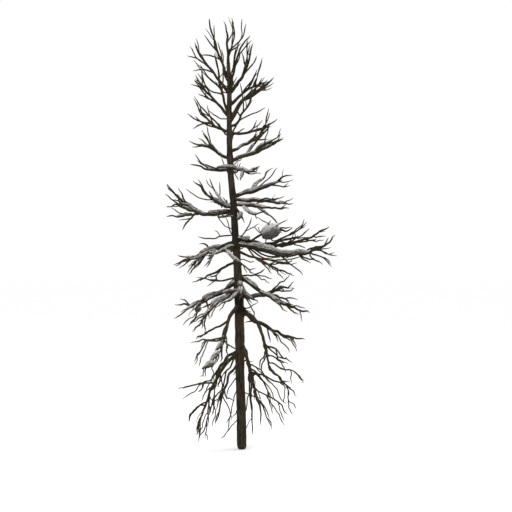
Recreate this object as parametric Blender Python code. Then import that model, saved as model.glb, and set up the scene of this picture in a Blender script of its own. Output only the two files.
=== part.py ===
"""A dead conifer, ten metres tall, standing with old snow on its level boughs.

The trunk is one tapering pole on a flat cut at ground level.  Every limb grows from the trunk by
one rule: it leaves on a short level collar, then follows its reach, rise, bow and hook.  A heavy
limb has a bough of its own, which ends where its mass of twigs begins.  A light limb is a mass
whose stem meets the trunk.  Units are metres, +Z is up, +X is the tree's right from the front.
"""
import math
import random
from collections import namedtuple

import bmesh
import bpy
import numpy as np
from mathutils import Vector

GAP = 0.0003            # clearance between neighbouring pieces
COLLAR = 0.045          # level start of each limb at the trunk
STATIONS = 7            # spans of a limb's centre line
FORK_STATIONS = 3       # spans of a fork's centre line
LIMB_KINK = 0.016       # sideways kink of a limb, as a share of its length
TIP_RADIUS = 0.0130     # every twig ends this thick
TWIG_RADIUS = 0.0180    # a twig's thickest root
TWIG_SPACING = 0.31     # between twigs along a stem
TWIG_LENGTH = 0.66      # longest twig
TWIG_MIN = 0.24         # a shorter one is left off
CLEARANCE = 0.012       # least space between a twig and another piece
TAPER_POWER = 0.70      # below 1, a limb stays thick far out
FORK_THICKNESS = 0.68   # a fork's root, as a share of the limb's thickness there
FORK_RADIUS = 0.018     # least thickness of a fork's root
SEED = 4100

# height, sideways lean, diameter of the trunk
TRUNK = (
    (0.00, 0.000, 0.140),
    (0.03, 0.000, 0.196),
    (0.08, 0.000, 0.218),
    (0.16, -0.002, 0.226),
    (0.90, -0.012, 0.216),
    (1.75, -0.040, 0.206),
    (2.55, -0.046, 0.222),
    (3.40, -0.062, 0.214),
    (4.10, -0.094, 0.186),
    (5.20, -0.166, 0.158),
    (5.70, -0.195, 0.152),
    (6.20, -0.248, 0.150),
    (7.00, -0.285, 0.132),
    (7.80, -0.290, 0.118),
    (8.30, -0.282, 0.108),
    (8.90, -0.310, 0.074),
)
TRUNK_TOP = TRUNK[-1][0]
TRUNK_SIDES = 14

# height on the trunk, compass bearing in degrees (0 right, 90 back, 180 left, 270 front),
# level reach, rise of the tip, bow of the middle, hook (first over, then under its chord),
# girth at the trunk, share of the length that is a separate bough
Limb = namedtuple("Limb", "name height bearing reach rise bow hook girth share forks")
# share of the limb where it leaves, bearing, level reach, rise of its tip, bow
Fork = namedtuple("Fork", "at bearing reach rise bow")

LIMBS = (
    Limb("leader_tip", TRUNK_TOP, 150, 0.14, 0.91, 0.00, 0.00, 0.062, 0.0, (
        Fork(0.10, 325, 0.15, 0.90, -0.14), Fork(0.25, 345, 0.42, 0.62, -0.10),
        Fork(0.20, 25, 0.32, 0.24, 0.00))),
    Limb("leader_left", 8.67, 200, 0.42, 1.22, -0.05, 0.00, 0.058, 0.0, (
        Fork(0.40, 172, 0.32, 0.38, 0.02), Fork(0.25, 190, 0.47, 0.10, 0.06))),
    Limb("leader_right", 8.60, 12, 0.44, 0.92, 0.17, 0.03, 0.058, 0.0, (
        Fork(0.46, 340, 0.32, 0.32, 0.00), Fork(0.10, 310, 0.25, 0.42, 0.00))),
    Limb("top_right_a", 8.30, 15, 0.51, 1.05, -0.22, 0.05, 0.078, 0.0, (
        Fork(0.52, 165, 0.11, 0.36, 0.00), Fork(0.30, 345, 0.32, 0.42, 0.00))),
    Limb("top_left_a", 8.30, 175, 0.77, 1.08, -0.06, 0.00, 0.065, 0.0, (
        Fork(0.36, 205, 0.68, 0.38, 0.05), Fork(0.38, 150, 0.60, 0.06, 0.03),
        Fork(0.62, 188, 0.26, 0.36, 0.00))),
    Limb("top_back_a", 8.02, 88, 0.75, 0.75, -0.08, 0.00, 0.065, 0.0, (
        Fork(0.35, 60, 0.40, 0.30, 0.00), Fork(0.50, 132, 0.40, 0.24, 0.00))),
    Limb("top_right_b", 7.98, 24, 0.94, 0.53, 0.10, 0.00, 0.072, 0.0, (
        Fork(0.45, 325, 0.26, 0.46, 0.00), Fork(0.62, 20, 0.26, 0.62, -0.04))),
    Limb("top_left_b", 7.84, 230, 0.45, 1.20, -0.12, 0.00, 0.065, 0.0, (
        Fork(0.28, 202, 0.66, 0.30, -0.03), Fork(0.36, 160, 0.54, 0.58, -0.03))),
    Limb("top_left_c", 7.75, 165, 0.80, 0.86, 0.00, 0.00, 0.072, 0.0, (
        Fork(0.42, 200, 0.40, 0.34, 0.00), Fork(0.35, 138, 0.55, 0.16, 0.00),
        Fork(0.60, 186, 0.34, 0.10, 0.02))),
    Limb("top_right_c", 7.68, 345, 0.98, 0.85, 0.06, 0.06, 0.103, 0.0, (
        Fork(0.58, 25, 0.32, 0.24, 0.00), Fork(0.42, 315, 0.62, 0.14, 0.05),
        Fork(0.30, 8, 0.46, 0.56, -0.05))),
    Limb("top_front_a", 7.42, 300, 1.00, 0.72, -0.20, 0.00, 0.065, 0.0, (
        Fork(0.45, 250, 0.42, 0.12, 0.00), Fork(0.60, 335, 0.20, 0.25, 0.00))),
    Limb("top_left_d", 7.32, 150, 0.76, 0.60, -0.12, 0.00, 0.072, 0.0, (
        Fork(0.12, 196, 0.66, 0.74, -0.08), Fork(0.46, 208, 0.46, -0.16, 0.05),
        Fork(0.50, 170, 0.58, 0.22, -0.05))),
    Limb("top_right_d", 7.26, 4, 1.02, 0.32, -0.08, 0.00, 0.065, 0.0, (
        Fork(0.28, 50, 0.43, 0.35, -0.05), Fork(0.70, 320, 0.17, 0.40, 0.00))),
    Limb("top_back_b", 7.05, 82, 0.95, 0.50, -0.05, 0.00, 0.072, 0.0, (
        Fork(0.38, 122, 0.50, 0.20, 0.00), Fork(0.50, 50, 0.42, 0.20, 0.00))),
    Limb("upper_right_a", 6.88, 34, 1.08, 0.62, -0.06, 0.00, 0.076, 0.0, (
        Fork(0.55, 5, 0.30, 0.24, 0.00), Fork(0.34, 62, 0.50, 0.28, 0.00),
        Fork(0.44, 12, 0.44, 0.06, 0.02))),
    Limb("upper_left_a", 6.72, 190, 0.88, 0.35, 0.04, 0.00, 0.076, 0.0, (
        Fork(0.25, 228, 0.44, 0.42, -0.05), Fork(0.32, 152, 0.46, 0.30, 0.00),
        Fork(0.50, 176, 0.42, 0.06, 0.03))),
    Limb("upper_right_b", 6.66, 348, 1.17, 0.43, -0.04, 0.00, 0.089, 0.0, (
        Fork(0.24, 10, 0.52, 0.66, 0.00), Fork(0.38, 322, 0.78, 0.40, 0.00),
        Fork(0.56, 355, 0.42, 0.26, 0.00))),
    Limb("upper_left_b", 6.42, 168, 0.90, 0.14, -0.05, 0.00, 0.069, 0.0, (
        Fork(0.48, 135, 0.33, 0.22, 0.00), Fork(0.18, 222, 0.50, 0.10, 0.00))),
    Limb("upper_right_c", 6.46, 316, 0.92, 0.00, -0.12, 0.00, 0.069, 0.0, (
        Fork(0.30, 268, 0.40, -0.26, 0.00), Fork(0.60, 345, 0.26, 0.10, 0.00))),
    Limb("upper_back_a", 6.36, 84, 1.05, 0.20, -0.05, 0.00, 0.069, 0.0, (
        Fork(0.40, 120, 0.50, 0.10, 0.00), Fork(0.48, 60, 0.45, 0.12, 0.00))),
    Limb("middle_right_a", 5.84, 19, 1.38, 0.50, -0.05, 0.00, 0.090, 0.0, (
        Fork(0.25, 48, 0.62, 0.52, 0.00), Fork(0.35, 343, 0.58, 0.20, 0.00),
        Fork(0.60, 33, 0.55, -0.02, 0.00))),
    Limb("middle_right_b", 5.73, 338, 1.38, -0.10, -0.03, 0.00, 0.073, 0.0, (
        Fork(0.50, 5, 0.55, 0.02, 0.00), Fork(0.40, 315, 0.40, 0.08, 0.00))),
    Limb("middle_right_c", 5.62, 318, 1.58, -0.16, 0.00, 0.00, 0.078, 0.0, (
        Fork(0.14, 300, 1.30, -0.24, -0.18), Fork(0.42, 322, 0.58, -0.36, 0.00))),
    Limb("middle_back_a", 5.66, 97, 1.35, 0.12, -0.10, 0.00, 0.078, 0.0, (
        Fork(0.35, 138, 0.70, 0.10, 0.00), Fork(0.45, 62, 0.62, 0.10, 0.00))),
    Limb("middle_left_a", 5.46, 187, 1.46, 0.60, -0.31, -0.02, 0.101, 0.36, (
        Fork(0.42, 158, 0.84, -0.10, 0.00), Fork(0.60, 208, 0.40, 0.12, 0.00),
        Fork(0.46, 212, 0.42, -0.44, 0.05), Fork(0.66, 150, 0.30, 0.26, 0.00),
        Fork(0.54, 176, 0.58, 0.05, 0.06), Fork(0.50, 200, 0.66, 0.34, -0.06))),
    Limb("middle_left_b", 5.56, 225, 1.17, 0.55, -0.10, 0.00, 0.067, 0.0, (
        Fork(0.15, 142, 0.46, 0.64, 0.00), Fork(0.45, 255, 0.40, 0.15, 0.00))),
    Limb("broad_right_a", 4.69, 355, 2.21, 0.21, -0.33, 0.05, 0.105, 0.64, (
        Fork(0.70, 25, 0.34, 0.16, 0.04), Fork(0.72, 350, 0.58, -0.12, 0.03),
        Fork(0.70, 330, 0.54, -0.34, 0.00), Fork(0.70, 300, 0.25, -0.24, 0.00))),
    Limb("broad_right_b", 4.81, 20, 2.24, 0.33, -0.29, 0.00, 0.095, 0.0, (
        Fork(0.24, 14, 1.10, 0.50, -0.10), Fork(0.32, 348, 0.96, 0.40, -0.02),
        Fork(0.12, 30, 1.10, 0.33, 0.10), Fork(0.80, 350, 0.34, 0.03, -0.03),
        Fork(0.50, 44, 0.42, 0.22, -0.02), Fork(0.56, 2, 0.62, 0.10, 0.00),
        Fork(0.40, 332, 0.66, 0.14, 0.00))),
    Limb("broad_right_c", 4.52, 320, 1.60, -0.50, 0.00, 0.00, 0.062, 0.0, (
        Fork(0.22, 344, 1.12, 0.00, -0.08), Fork(0.40, 302, 0.66, -0.20, 0.00),
        Fork(0.55, 338, 0.66, 0.04, -0.03))),
    Limb("broad_front", 4.66, 234, 0.94, -0.28, 0.02, 0.00, 0.078, 0.0, (
        Fork(0.30, 300, 1.30, -0.55, -0.05), Fork(0.62, 200, 0.28, -0.02, 0.00))),
    Limb("broad_left_a", 4.72, 172, 1.34, -0.54, 0.04, 0.00, 0.100, 0.16, (
        Fork(0.70, 190, 0.36, 0.10, 0.00), Fork(0.48, 215, 0.40, -0.28, 0.00),
        Fork(0.45, 222, 0.50, -0.50, 0.02), Fork(0.28, 242, 0.42, -0.42, 0.03),
        Fork(0.36, 158, 0.30, 0.16, 0.05), Fork(0.60, 200, 0.44, -0.12, 0.00),
        Fork(0.25, 200, 0.92, -0.44, 0.00))),
    Limb("broad_back", 4.70, 100, 1.70, -0.10, -0.12, 0.00, 0.090, 0.0, (
        Fork(0.30, 138, 0.90, 0.05, 0.00), Fork(0.42, 66, 0.80, 0.08, 0.00))),
    Limb("broad_left_b", 4.27, 220, 1.22, -0.40, 0.00, 0.00, 0.062, 0.0, (
        Fork(0.28, 248, 0.66, -0.34, 0.00),)),
    Limb("low_right_a", 3.90, 345, 1.58, -0.74, -0.12, 0.00, 0.101, 0.30, (
        Fork(0.50, 318, 0.36, -0.28, 0.00), Fork(0.66, 12, 0.34, -0.22, 0.00),
        Fork(0.45, 15, 0.62, -0.04, 0.00), Fork(0.60, 330, 0.30, -0.02, 0.00))),
    Limb("low_right_b", 3.50, 22, 1.26, 0.34, -0.10, 0.00, 0.078, 0.0, (
        Fork(0.48, 340, 0.52, -0.14, 0.00), Fork(0.50, 50, 0.50, 0.20, 0.00))),
    Limb("low_left_a", 3.78, 176, 1.40, -0.45, -0.14, 0.00, 0.100, 0.15, (
        Fork(0.60, 195, 0.48, -0.08, -0.03), Fork(0.57, 206, 0.68, -0.42, 0.02),
        Fork(0.55, 225, 0.38, -0.58, 0.05), Fork(0.50, 290, 0.26, -0.45, 0.03),
        Fork(0.25, 202, 0.72, -0.40, 0.02), Fork(0.74, 150, 0.34, 0.08, 0.00))),
    Limb("low_left_b", 3.60, 224, 1.28, -0.83, 0.10, 0.00, 0.095, 0.0, (
        Fork(0.52, 200, 0.44, -0.26, -0.02), Fork(0.66, 245, 0.16, -0.36, 0.00),
        Fork(0.40, 170, 0.40, -0.10, 0.00))),
    Limb("low_front", 3.66, 274, 0.72, -0.20, 0.06, 0.00, 0.090, 0.0, (
        Fork(0.24, 184, 0.66, -0.10, 0.03), Fork(0.20, 352, 0.42, -0.24, -0.03),
        Fork(0.46, 204, 0.58, -0.34, 0.00), Fork(0.55, 330, 0.36, -0.20, 0.00))),
    Limb("low_back", 3.76, 92, 1.40, -0.28, -0.05, 0.00, 0.078, 0.0, (
        Fork(0.35, 130, 0.65, -0.15, 0.00), Fork(0.45, 58, 0.65, -0.15, 0.00))),
    Limb("hanging_right_a", 3.13, 12, 1.40, -0.60, -0.12, 0.00, 0.102, 0.35, (
        Fork(0.50, 330, 0.18, -0.28, 0.00), Fork(0.73, 342, 0.24, -0.16, 0.00),
        Fork(0.83, 50, 0.14, -0.27, 0.00))),
    Limb("hanging_right_b", 3.10, 314, 0.93, -1.22, 0.43, 0.00, 0.102, 0.42, (
        Fork(0.66, 12, 0.62, -0.38, 0.08), Fork(0.88, 340, 0.80, -0.42, 0.05),
        Fork(0.71, 235, 0.24, -0.42, 0.06), Fork(0.92, 350, 0.54, -1.12, 0.10),
        Fork(0.78, 32, 0.46, -0.26, 0.04))),
    Limb("hanging_right_c", 2.35, 302, 0.80, -1.68, 0.28, 0.00, 0.083, 0.25, (
        Fork(0.32, 340, 0.58, -0.88, 0.20), Fork(0.38, 8, 0.92, -0.36, 0.04),
        Fork(0.55, 345, 0.78, -0.62, 0.08), Fork(0.70, 322, 0.40, -0.60, 0.05))),
    Limb("hanging_left_a", 3.24, 245, 0.95, -1.15, 0.18, 0.00, 0.096, 0.22, (
        Fork(0.32, 190, 0.75, -0.42, 0.03), Fork(0.60, 170, 0.68, -0.55, 0.18),
        Fork(0.62, 202, 0.84, -0.10, 0.00), Fork(0.66, 300, 0.60, -0.20, 0.00),
        Fork(0.64, 222, 0.58, -0.78, 0.04))),
    Limb("hanging_left_b", 2.12, 195, 0.95, -1.77, 0.30, 0.00, 0.083, 0.30, (
        Fork(0.38, 165, 0.85, -0.17, 0.05), Fork(0.62, 180, 0.37, -0.36, 0.10),
        Fork(0.76, 222, 0.16, -0.50, 0.00))),
    Limb("hanging_left_c", 1.92, 236, 0.84, -1.24, 0.24, 0.00, 0.064, 0.0, (
        Fork(0.45, 208, 0.60, -1.05, 0.14), Fork(0.50, 300, 0.45, -0.25, 0.00))),
    Limb("hanging_back_a", 2.36, 74, 1.15, -0.95, 0.28, 0.00, 0.083, 0.0, (
        Fork(0.40, 112, 0.60, -0.40, 0.05), Fork(0.55, 45, 0.60, -0.40, 0.05),
        Fork(0.75, 80, 0.35, -0.70, 0.10))),
    Limb("hanging_back_b", 2.22, 128, 1.10, -1.25, 0.34, 0.00, 0.077, 0.0, (
        Fork(0.40, 98, 0.60, -0.50, 0.05), Fork(0.55, 162, 0.50, -0.45, 0.05),
        Fork(0.75, 120, 0.35, -0.60, 0.08))),
)

# snow along a limb: limb, start and end as shares of the limb, thickness;
# on a bough it is a piece of its own, past the bough it is one with the mass of twigs
SNOW_COVERS = (
    ("broad_right_a", 0.08, 0.62, 0.200),
    ("middle_left_a", 0.08, 0.34, 0.100),
    ("broad_left_a", 0.20, 0.60, 0.125),
    ("low_left_a", 0.20, 0.60, 0.125),
    ("low_left_b", 0.12, 0.58, 0.110),
    ("low_front", 0.12, 0.70, 0.120),
)
SNOW_RINGS = 6          # stations along a cover
SNOW_SIDES = 8
SNOW_WIDTH = 1.25       # a cover's width over its thickness

# snow caught on a fork: limb, fork number, share of the fork, half length, half width
SNOW_LUMPS = (
    ("broad_right_b", 2, 0.50, 0.250, 0.175),
    ("low_left_a", 2, 0.40, 0.090, 0.070),
    ("hanging_left_a", 4, 0.22, 0.110, 0.062),
    ("hanging_left_a", 4, 0.48, 0.125, 0.075),
    ("hanging_left_a", 4, 0.72, 0.120, 0.065),
)

WOOD_COLOUR = (0.060, 0.047, 0.034, 1.0)
SNOW_COLOUR = (0.420, 0.410, 0.400, 1.0)
BOUGH_SIDES = 6
STEM_SIDES = 4
TWIG_SIDES = 3
UP = Vector((0.0, 0.0, 1.0))


# ---------------------------------------------------------------- centre lines

def trunk_at(height):
    """Centre and radius of the trunk at a height."""
    heights = [row[0] for row in TRUNK]
    lean = np.interp(height, heights, [row[1] for row in TRUNK])
    diameter = np.interp(height, heights, [row[2] for row in TRUNK])
    return Vector((lean, 0.0, height)), diameter / 2


def bark_distance(height, half_span, out):
    """How far the leaning trunk stands out of its centre at a height, over a limb's thickness."""
    centre, _ = trunk_at(height)
    reaches = []
    for level in (height - half_span, height, height + half_span):
        other, radius = trunk_at(level)
        reaches.append((other - centre).dot(out) + radius)
    return max(reaches)


def toward(bearing):
    """Level unit vector along a compass bearing."""
    angle = math.radians(bearing)
    return Vector((math.cos(angle), math.sin(angle), 0.0))


def kinked(points, rng, amount):
    """The points between the ends, each moved a little to one side."""
    for point in points[1:-1]:
        point += Vector([rng.uniform(-1, 1) * amount for _ in range(3)])
    return points


def limb_course(limb, rng):
    """Centre line of a limb: a level collar at the trunk, then the swept course."""
    centre, _ = trunk_at(limb.height)
    out = toward(limb.bearing)
    if limb.height >= TRUNK_TOP:
        ahead = (centre - trunk_at(TRUNK[-2][0])[0]).normalized()
        start = centre + ahead * GAP
        collar = start + ahead * COLLAR
    else:
        start = centre + out * (bark_distance(limb.height, limb.girth / 2, out) + GAP)
        collar = start + out * COLLAR
    course = []
    for step in range(STATIONS + 1):
        t = step / STATIONS
        lift = limb.rise * t + limb.bow * math.sin(math.pi * t) + limb.hook * math.sin(math.tau * t)
        course.append(collar + out * (limb.reach - COLLAR) * t + UP * lift)
    length = math.hypot(limb.reach, limb.rise)
    return [start] + kinked(course, rng, LIMB_KINK * length)


def fork_course(fork, root, rng):
    """Centre line of a fork that leaves a limb at a point."""
    out = toward(fork.bearing)
    course = []
    for step in range(FORK_STATIONS + 1):
        t = step / FORK_STATIONS
        course.append(root + out * fork.reach * t + UP * (fork.rise * t + fork.bow * math.sin(math.pi * t)))
    return kinked(course, rng, LIMB_KINK * 1.6 * math.hypot(fork.reach, fork.rise))


def measure(points):
    """Distance along a line of points to each of them."""
    total = [0.0]
    for a, b in zip(points, points[1:]):
        total.append(total[-1] + (b - a).length)
    return total


def point_at(points, share):
    """Point and direction at a share of a line's length."""
    total = measure(points)
    target = share * total[-1]
    for i in range(len(points) - 1):
        if target <= total[i + 1] or i == len(points) - 2:
            span = points[i + 1] - points[i]
            part = (target - total[i]) / max(span.length, 1e-9)
            return points[i] + span * min(part, 1.0), span.normalized()


def taper(root_radius, share):
    """Radius of a limb at a share of its length."""
    return TIP_RADIUS + (root_radius - TIP_RADIUS) * (1.0 - share) ** TAPER_POWER


def with_radii(points, root_radius):
    """The radius at each point of a limb that tapers to a twig's tip."""
    total = measure(points)
    return [taper(root_radius, d / total[-1]) for d in total]


def split(points, radii, share):
    """A line cut in two at a share of its length; the second half starts a gap later."""
    total = measure(points)
    i = max(k for k in range(len(points) - 1) if total[k] < share * total[-1])
    cut, ahead = point_at(points, share)
    radius = (radii[i] + radii[i + 1]) / 2
    near = points[:i + 1] + [cut]
    far = [cut + ahead * GAP] + points[i + 1:]
    return (near, radii[:i + 1] + [radius]), (far, [radius * 0.92] + radii[i + 1:])


# ---------------------------------------------------------------- room between the pieces

class Room:
    """The round-ended spans of every piece placed so far, each with its owner's name."""

    def __init__(self):
        self.starts = []
        self.ends = []
        self.radii = []
        self.owners = []

    def add(self, owner, points, radii):
        for a, b, ra, rb in zip(points, points[1:], radii, radii[1:]):
            self.starts.append(tuple(a))
            self.ends.append(tuple(b))
            self.radii.append(max(ra, rb))
            self.owners.append(owner)

    def clear(self, owner, points, radii, spare=CLEARANCE):
        """True where the line keeps its distance from every piece of other owners."""
        keep = np.array([name != owner for name in self.owners])
        p = np.array(self.starts)[keep]
        q = np.array(self.ends)[keep]
        r = np.array(self.radii)[keep]
        for a, b, radius in zip(points, points[1:], radii):
            if (span_distances(np.array(a), np.array(b), p, q) < r + radius + spare).any():
                return False
        return True


def span_distances(a, b, p, q):
    """Least distance from the span a-b to each span p-q."""
    d1, d2, gap = b - a, q - p, a - p
    aa = d1 @ d1
    ee = np.maximum((d2 * d2).sum(1), 1e-12)
    f = (d2 * gap).sum(1)
    c = gap @ d1
    m = d2 @ d1
    denominator = aa * ee - m * m
    s = np.where(denominator > 1e-12, (m * f - c * ee) / np.maximum(denominator, 1e-12), 0.0)
    s = np.clip(s, 0.0, 1.0)
    t = np.clip((m * s + f) / ee, 0.0, 1.0)
    s = np.clip((m * t - c) / aa, 0.0, 1.0)
    nearest = (a + s[:, None] * d1) - (p + t[:, None] * d2)
    return np.sqrt((nearest * nearest).sum(1))


# ---------------------------------------------------------------- twigs

def droop_at(height):
    """How far a twig's tip turns up (above zero) or down, over its length."""
    return float(np.interp(height, (2.6, 3.6, 5.2, 6.6), (-0.45, -0.12, 0.10, 0.42)))


def twig_courses(axis, root_radius, first, rng):
    """Twigs along an axis from a share of it on: alternate sides, sweeping forward."""
    length = measure(axis)[-1]
    distance = first * length + TWIG_SPACING * rng.uniform(0.4, 0.8)
    side = rng.choice((-1, 1))
    while distance < length - 0.20:
        share = distance / length
        root, ahead = point_at(axis, share)
        across = ahead.cross(UP).normalized()
        over = across.cross(ahead)
        roll = math.radians(rng.uniform(-50, 50))
        lean = math.radians(rng.uniform(18, 42))
        out = (across * math.cos(roll) * side + over * math.sin(roll)) * math.sin(lean)
        out += ahead * math.cos(lean)
        reach = min(TWIG_LENGTH, 0.08 + 0.75 * (length - distance)) * rng.uniform(0.70, 1.05)
        turn = UP * droop_at(root.z) * reach
        bend = Vector([rng.uniform(-0.05, 0.05) * reach for _ in range(3)])
        middle = root + out * reach * 0.5 + turn * 0.25 + bend
        tip = root + out * reach + turn
        thick = min(TWIG_RADIUS, 0.7 * taper(root_radius, share))
        if reach > TWIG_MIN and tip.z > 0.1:
            yield [root, middle, tip], [thick, (thick + TIP_RADIUS) / 2, TIP_RADIUS]
        distance += TWIG_SPACING * rng.uniform(0.8, 1.2)
        side = -side


# ---------------------------------------------------------------- meshes

def section(sides, width=1.0):
    """A closed outline with unit radius, the cross-section that a tube is swept with."""
    data = bpy.data.curves.new("section", "CURVE")
    data.dimensions = "2D"
    spline = data.splines.new("POLY")
    spline.points.add(sides - 1)
    for i, point in enumerate(spline.points):
        angle = math.tau * (i + 0.5) / sides
        point.co = (math.cos(angle) * width, math.sin(angle), 0.0, 1.0)
    spline.use_cyclic_u = True
    shape = bpy.data.objects.new("section", data)
    bpy.context.scene.collection.objects.link(shape)
    return shape


def tube(name, points, radii, sides, width=1.0):
    """A closed tapering tube along a line of points, as a mesh object."""
    data = bpy.data.curves.new(name, "CURVE")
    data.dimensions = "3D"
    data.twist_mode = "Z_UP" if width != 1.0 else "MINIMUM"
    spline = data.splines.new("POLY")
    spline.points.add(len(points) - 1)
    for target, point, radius in zip(spline.points, points, radii):
        target.co = (*point, 1.0)
        target.radius = radius
    outline = section(sides, width)
    data.bevel_mode = "OBJECT"
    data.bevel_object = outline
    data.use_fill_caps = True
    curve = bpy.data.objects.new(name, data)
    bpy.context.scene.collection.objects.link(curve)
    depsgraph = bpy.context.evaluated_depsgraph_get()
    mesh = bpy.data.meshes.new_from_object(curve.evaluated_get(depsgraph))
    bpy.data.objects.remove(curve)
    bpy.data.objects.remove(outline)
    solid = bpy.data.objects.new(name, mesh)
    bpy.context.scene.collection.objects.link(solid)
    tidy_mesh(mesh)
    return solid


def lump(name, centre, ahead, half_length, half_width):
    """A rounded lump of snow, longer along the twig that it hangs on."""
    mesh = bpy.data.meshes.new(name)
    shape = bmesh.new()
    bmesh.ops.create_icosphere(shape, subdivisions=2, radius=1.0)
    bmesh.ops.scale(shape, vec=(half_width, half_width, half_length), verts=shape.verts)
    bmesh.ops.rotate(shape, matrix=ahead.to_track_quat("Z", "Y").to_matrix(), verts=shape.verts)
    bmesh.ops.translate(shape, vec=centre, verts=shape.verts)
    shape.to_mesh(mesh)
    shape.free()
    solid = bpy.data.objects.new(name, mesh)
    bpy.context.scene.collection.objects.link(solid)
    return solid


def tidy_mesh(mesh):
    """Weld caps, drop slivers and loose scraps, and turn the faces outwards."""
    shape = bmesh.new()
    shape.from_mesh(mesh)
    bmesh.ops.remove_doubles(shape, verts=shape.verts, dist=0.00002)
    bmesh.ops.dissolve_degenerate(shape, dist=0.00002, edges=shape.edges)
    loose = [edge for edge in shape.edges if not edge.link_faces]
    bmesh.ops.delete(shape, geom=loose, context="EDGES")
    keep_largest(shape)
    bmesh.ops.recalc_face_normals(shape, faces=shape.faces)
    shape.to_mesh(mesh)
    shape.free()


def keep_largest(shape):
    """Delete every island of faces but the largest."""
    islands = []
    waiting = set(shape.faces)
    while waiting:
        island = {waiting.pop()}
        edge_of_search = list(island)
        while edge_of_search:
            face = edge_of_search.pop()
            for edge in face.edges:
                for other in edge.link_faces:
                    if other in waiting:
                        waiting.remove(other)
                        island.add(other)
                        edge_of_search.append(other)
        islands.append(island)
    islands.sort(key=len)
    scraps = [face for island in islands[:-1] for face in island]
    bmesh.ops.delete(shape, geom=scraps, context="FACES")


def is_closed(mesh):
    """True where every edge of a mesh has two faces."""
    shape = bmesh.new()
    shape.from_mesh(mesh)
    closed = all(len(edge.link_faces) == 2 for edge in shape.edges)
    shape.free()
    return closed


def combine(solid, others, operation):
    """Join or cut a solid with others by one Boolean on their collection, applied."""
    group = bpy.data.collections.new("operands")
    bpy.context.scene.collection.children.link(group)
    for other in others:
        bpy.context.scene.collection.objects.unlink(other)
        group.objects.link(other)
    step = solid.modifiers.new(operation.lower(), "BOOLEAN")
    step.operation = operation
    step.operand_type = "COLLECTION"
    step.collection = group
    for solver in ("EXACT", "MANIFOLD"):
        step.solver = solver
        depsgraph = bpy.context.evaluated_depsgraph_get()
        mesh = bpy.data.meshes.new_from_object(solid.evaluated_get(depsgraph))
        tidy_mesh(mesh)
        if is_closed(mesh):
            break
    solid.modifiers.clear()
    solid.data = mesh
    for other in others:
        bpy.data.objects.remove(other)
    bpy.data.collections.remove(group)


def material(name, colour, roughness):
    """A plain matte finish."""
    finish = bpy.data.materials.new(name)
    finish.use_nodes = True
    shader = finish.node_tree.nodes["Principled BSDF"]
    shader.inputs["Base Color"].default_value = colour
    shader.inputs["Roughness"].default_value = roughness
    shader.inputs["Metallic"].default_value = 0.0
    finish.diffuse_color = colour
    return finish


def publish(solid, name, tree, colour, roughness):
    """Name a finished solid, give it its own finish and put it in the tree's collection."""
    solid.name = name
    solid.data.name = name
    solid.data.materials.clear()
    solid.data.materials.append(material(name, colour, roughness))
    solid.data.shade_smooth()
    solid.data.set_sharp_from_angle(angle=math.radians(40))
    bpy.context.scene.collection.objects.unlink(solid)
    tree.objects.link(solid)


# ---------------------------------------------------------------- the tree's pieces

def make_trunk(tree, room):
    """The trunk, from its flat cut at the ground to the leaders."""
    points = [trunk_at(row[0])[0] for row in TRUNK]
    radii = [row[2] / 2 for row in TRUNK]
    room.add("trunk", points, radii)
    solid = tube("trunk", points, radii, TRUNK_SIDES)
    for vert in solid.data.vertices:
        if abs(vert.co.z) < 1e-4:
            vert.co.z = 0.0
    publish(solid, "trunk", tree, WOOD_COLOUR, 0.9)


def lay_out(room):
    """Every limb's parts: its bough, if it has one, its stem, and its forks."""
    plans = []
    for number, limb in enumerate(LIMBS):
        rng = random.Random(SEED + number)
        axis = limb_course(limb, rng)
        radii = with_radii(axis, limb.girth / 2)
        bough = None
        stem = (axis, radii)
        if limb.share > 0:
            bough, stem = split(axis, radii, limb.share)
            room.add(limb.name + "_bough", *bough)
        room.add(limb.name + "_twigs", *stem)
        forks = {}
        for index, fork in enumerate(limb.forks):
            root = point_at(axis, fork.at)[0]
            course = fork_course(fork, root, rng)
            thick = max(FORK_THICKNESS * taper(limb.girth / 2, fork.at), FORK_RADIUS)
            forks[index] = (course, with_radii(course, thick))
        plans.append((limb, rng, axis, bough, stem, forks))
    return plans


def cover_line(axis, start, end, thickness):
    """Centre line and radii of the snow that lies along a bough."""
    points = []
    radii = []
    for ring in range(SNOW_RINGS):
        part = ring / (SNOW_RINGS - 1)
        point = point_at(axis, start + (end - start) * part)[0]
        radius = thickness / 2 * (0.30 + 0.70 * math.sin(math.pi * (0.12 + 0.76 * part)))
        points.append(point + UP * radius * 0.62)
        radii.append(radius)
    return points, radii


def make_snow_covers(tree, room, plans):
    """Snow along the limbs: cut clear of a bough, or handed over for its mass of twigs."""
    fused = {}
    for name, start, end, thickness in SNOW_COVERS:
        limb, _, axis, bough, _, _ = next(plan for plan in plans if plan[0].name == name)
        points, radii = cover_line(axis, start, end, thickness)
        cover = tube(name + "_snow", points, radii, SNOW_SIDES, SNOW_WIDTH)
        widths = [radius * SNOW_WIDTH for radius in radii]
        if start > limb.share:
            room.add(name + "_twigs", points, widths)
            fused[name] = cover
            continue
        room.add(name + "_snow", points, widths)
        wood = tube("wood", bough[0], [radius + GAP * 1.3 for radius in bough[1]], BOUGH_SIDES)
        combine(cover, [wood], "DIFFERENCE")
        publish(cover, name + "_snow", tree, SNOW_COLOUR, 0.8)
    return fused


def make_boughs(tree, plans):
    """The heavy limbs, each from the trunk to where its twigs begin."""
    for limb, _, _, bough, _, _ in plans:
        if bough:
            solid = tube(limb.name + "_bough", *bough, BOUGH_SIDES)
            publish(solid, limb.name + "_bough", tree, WOOD_COLOUR, 0.9)


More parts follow.
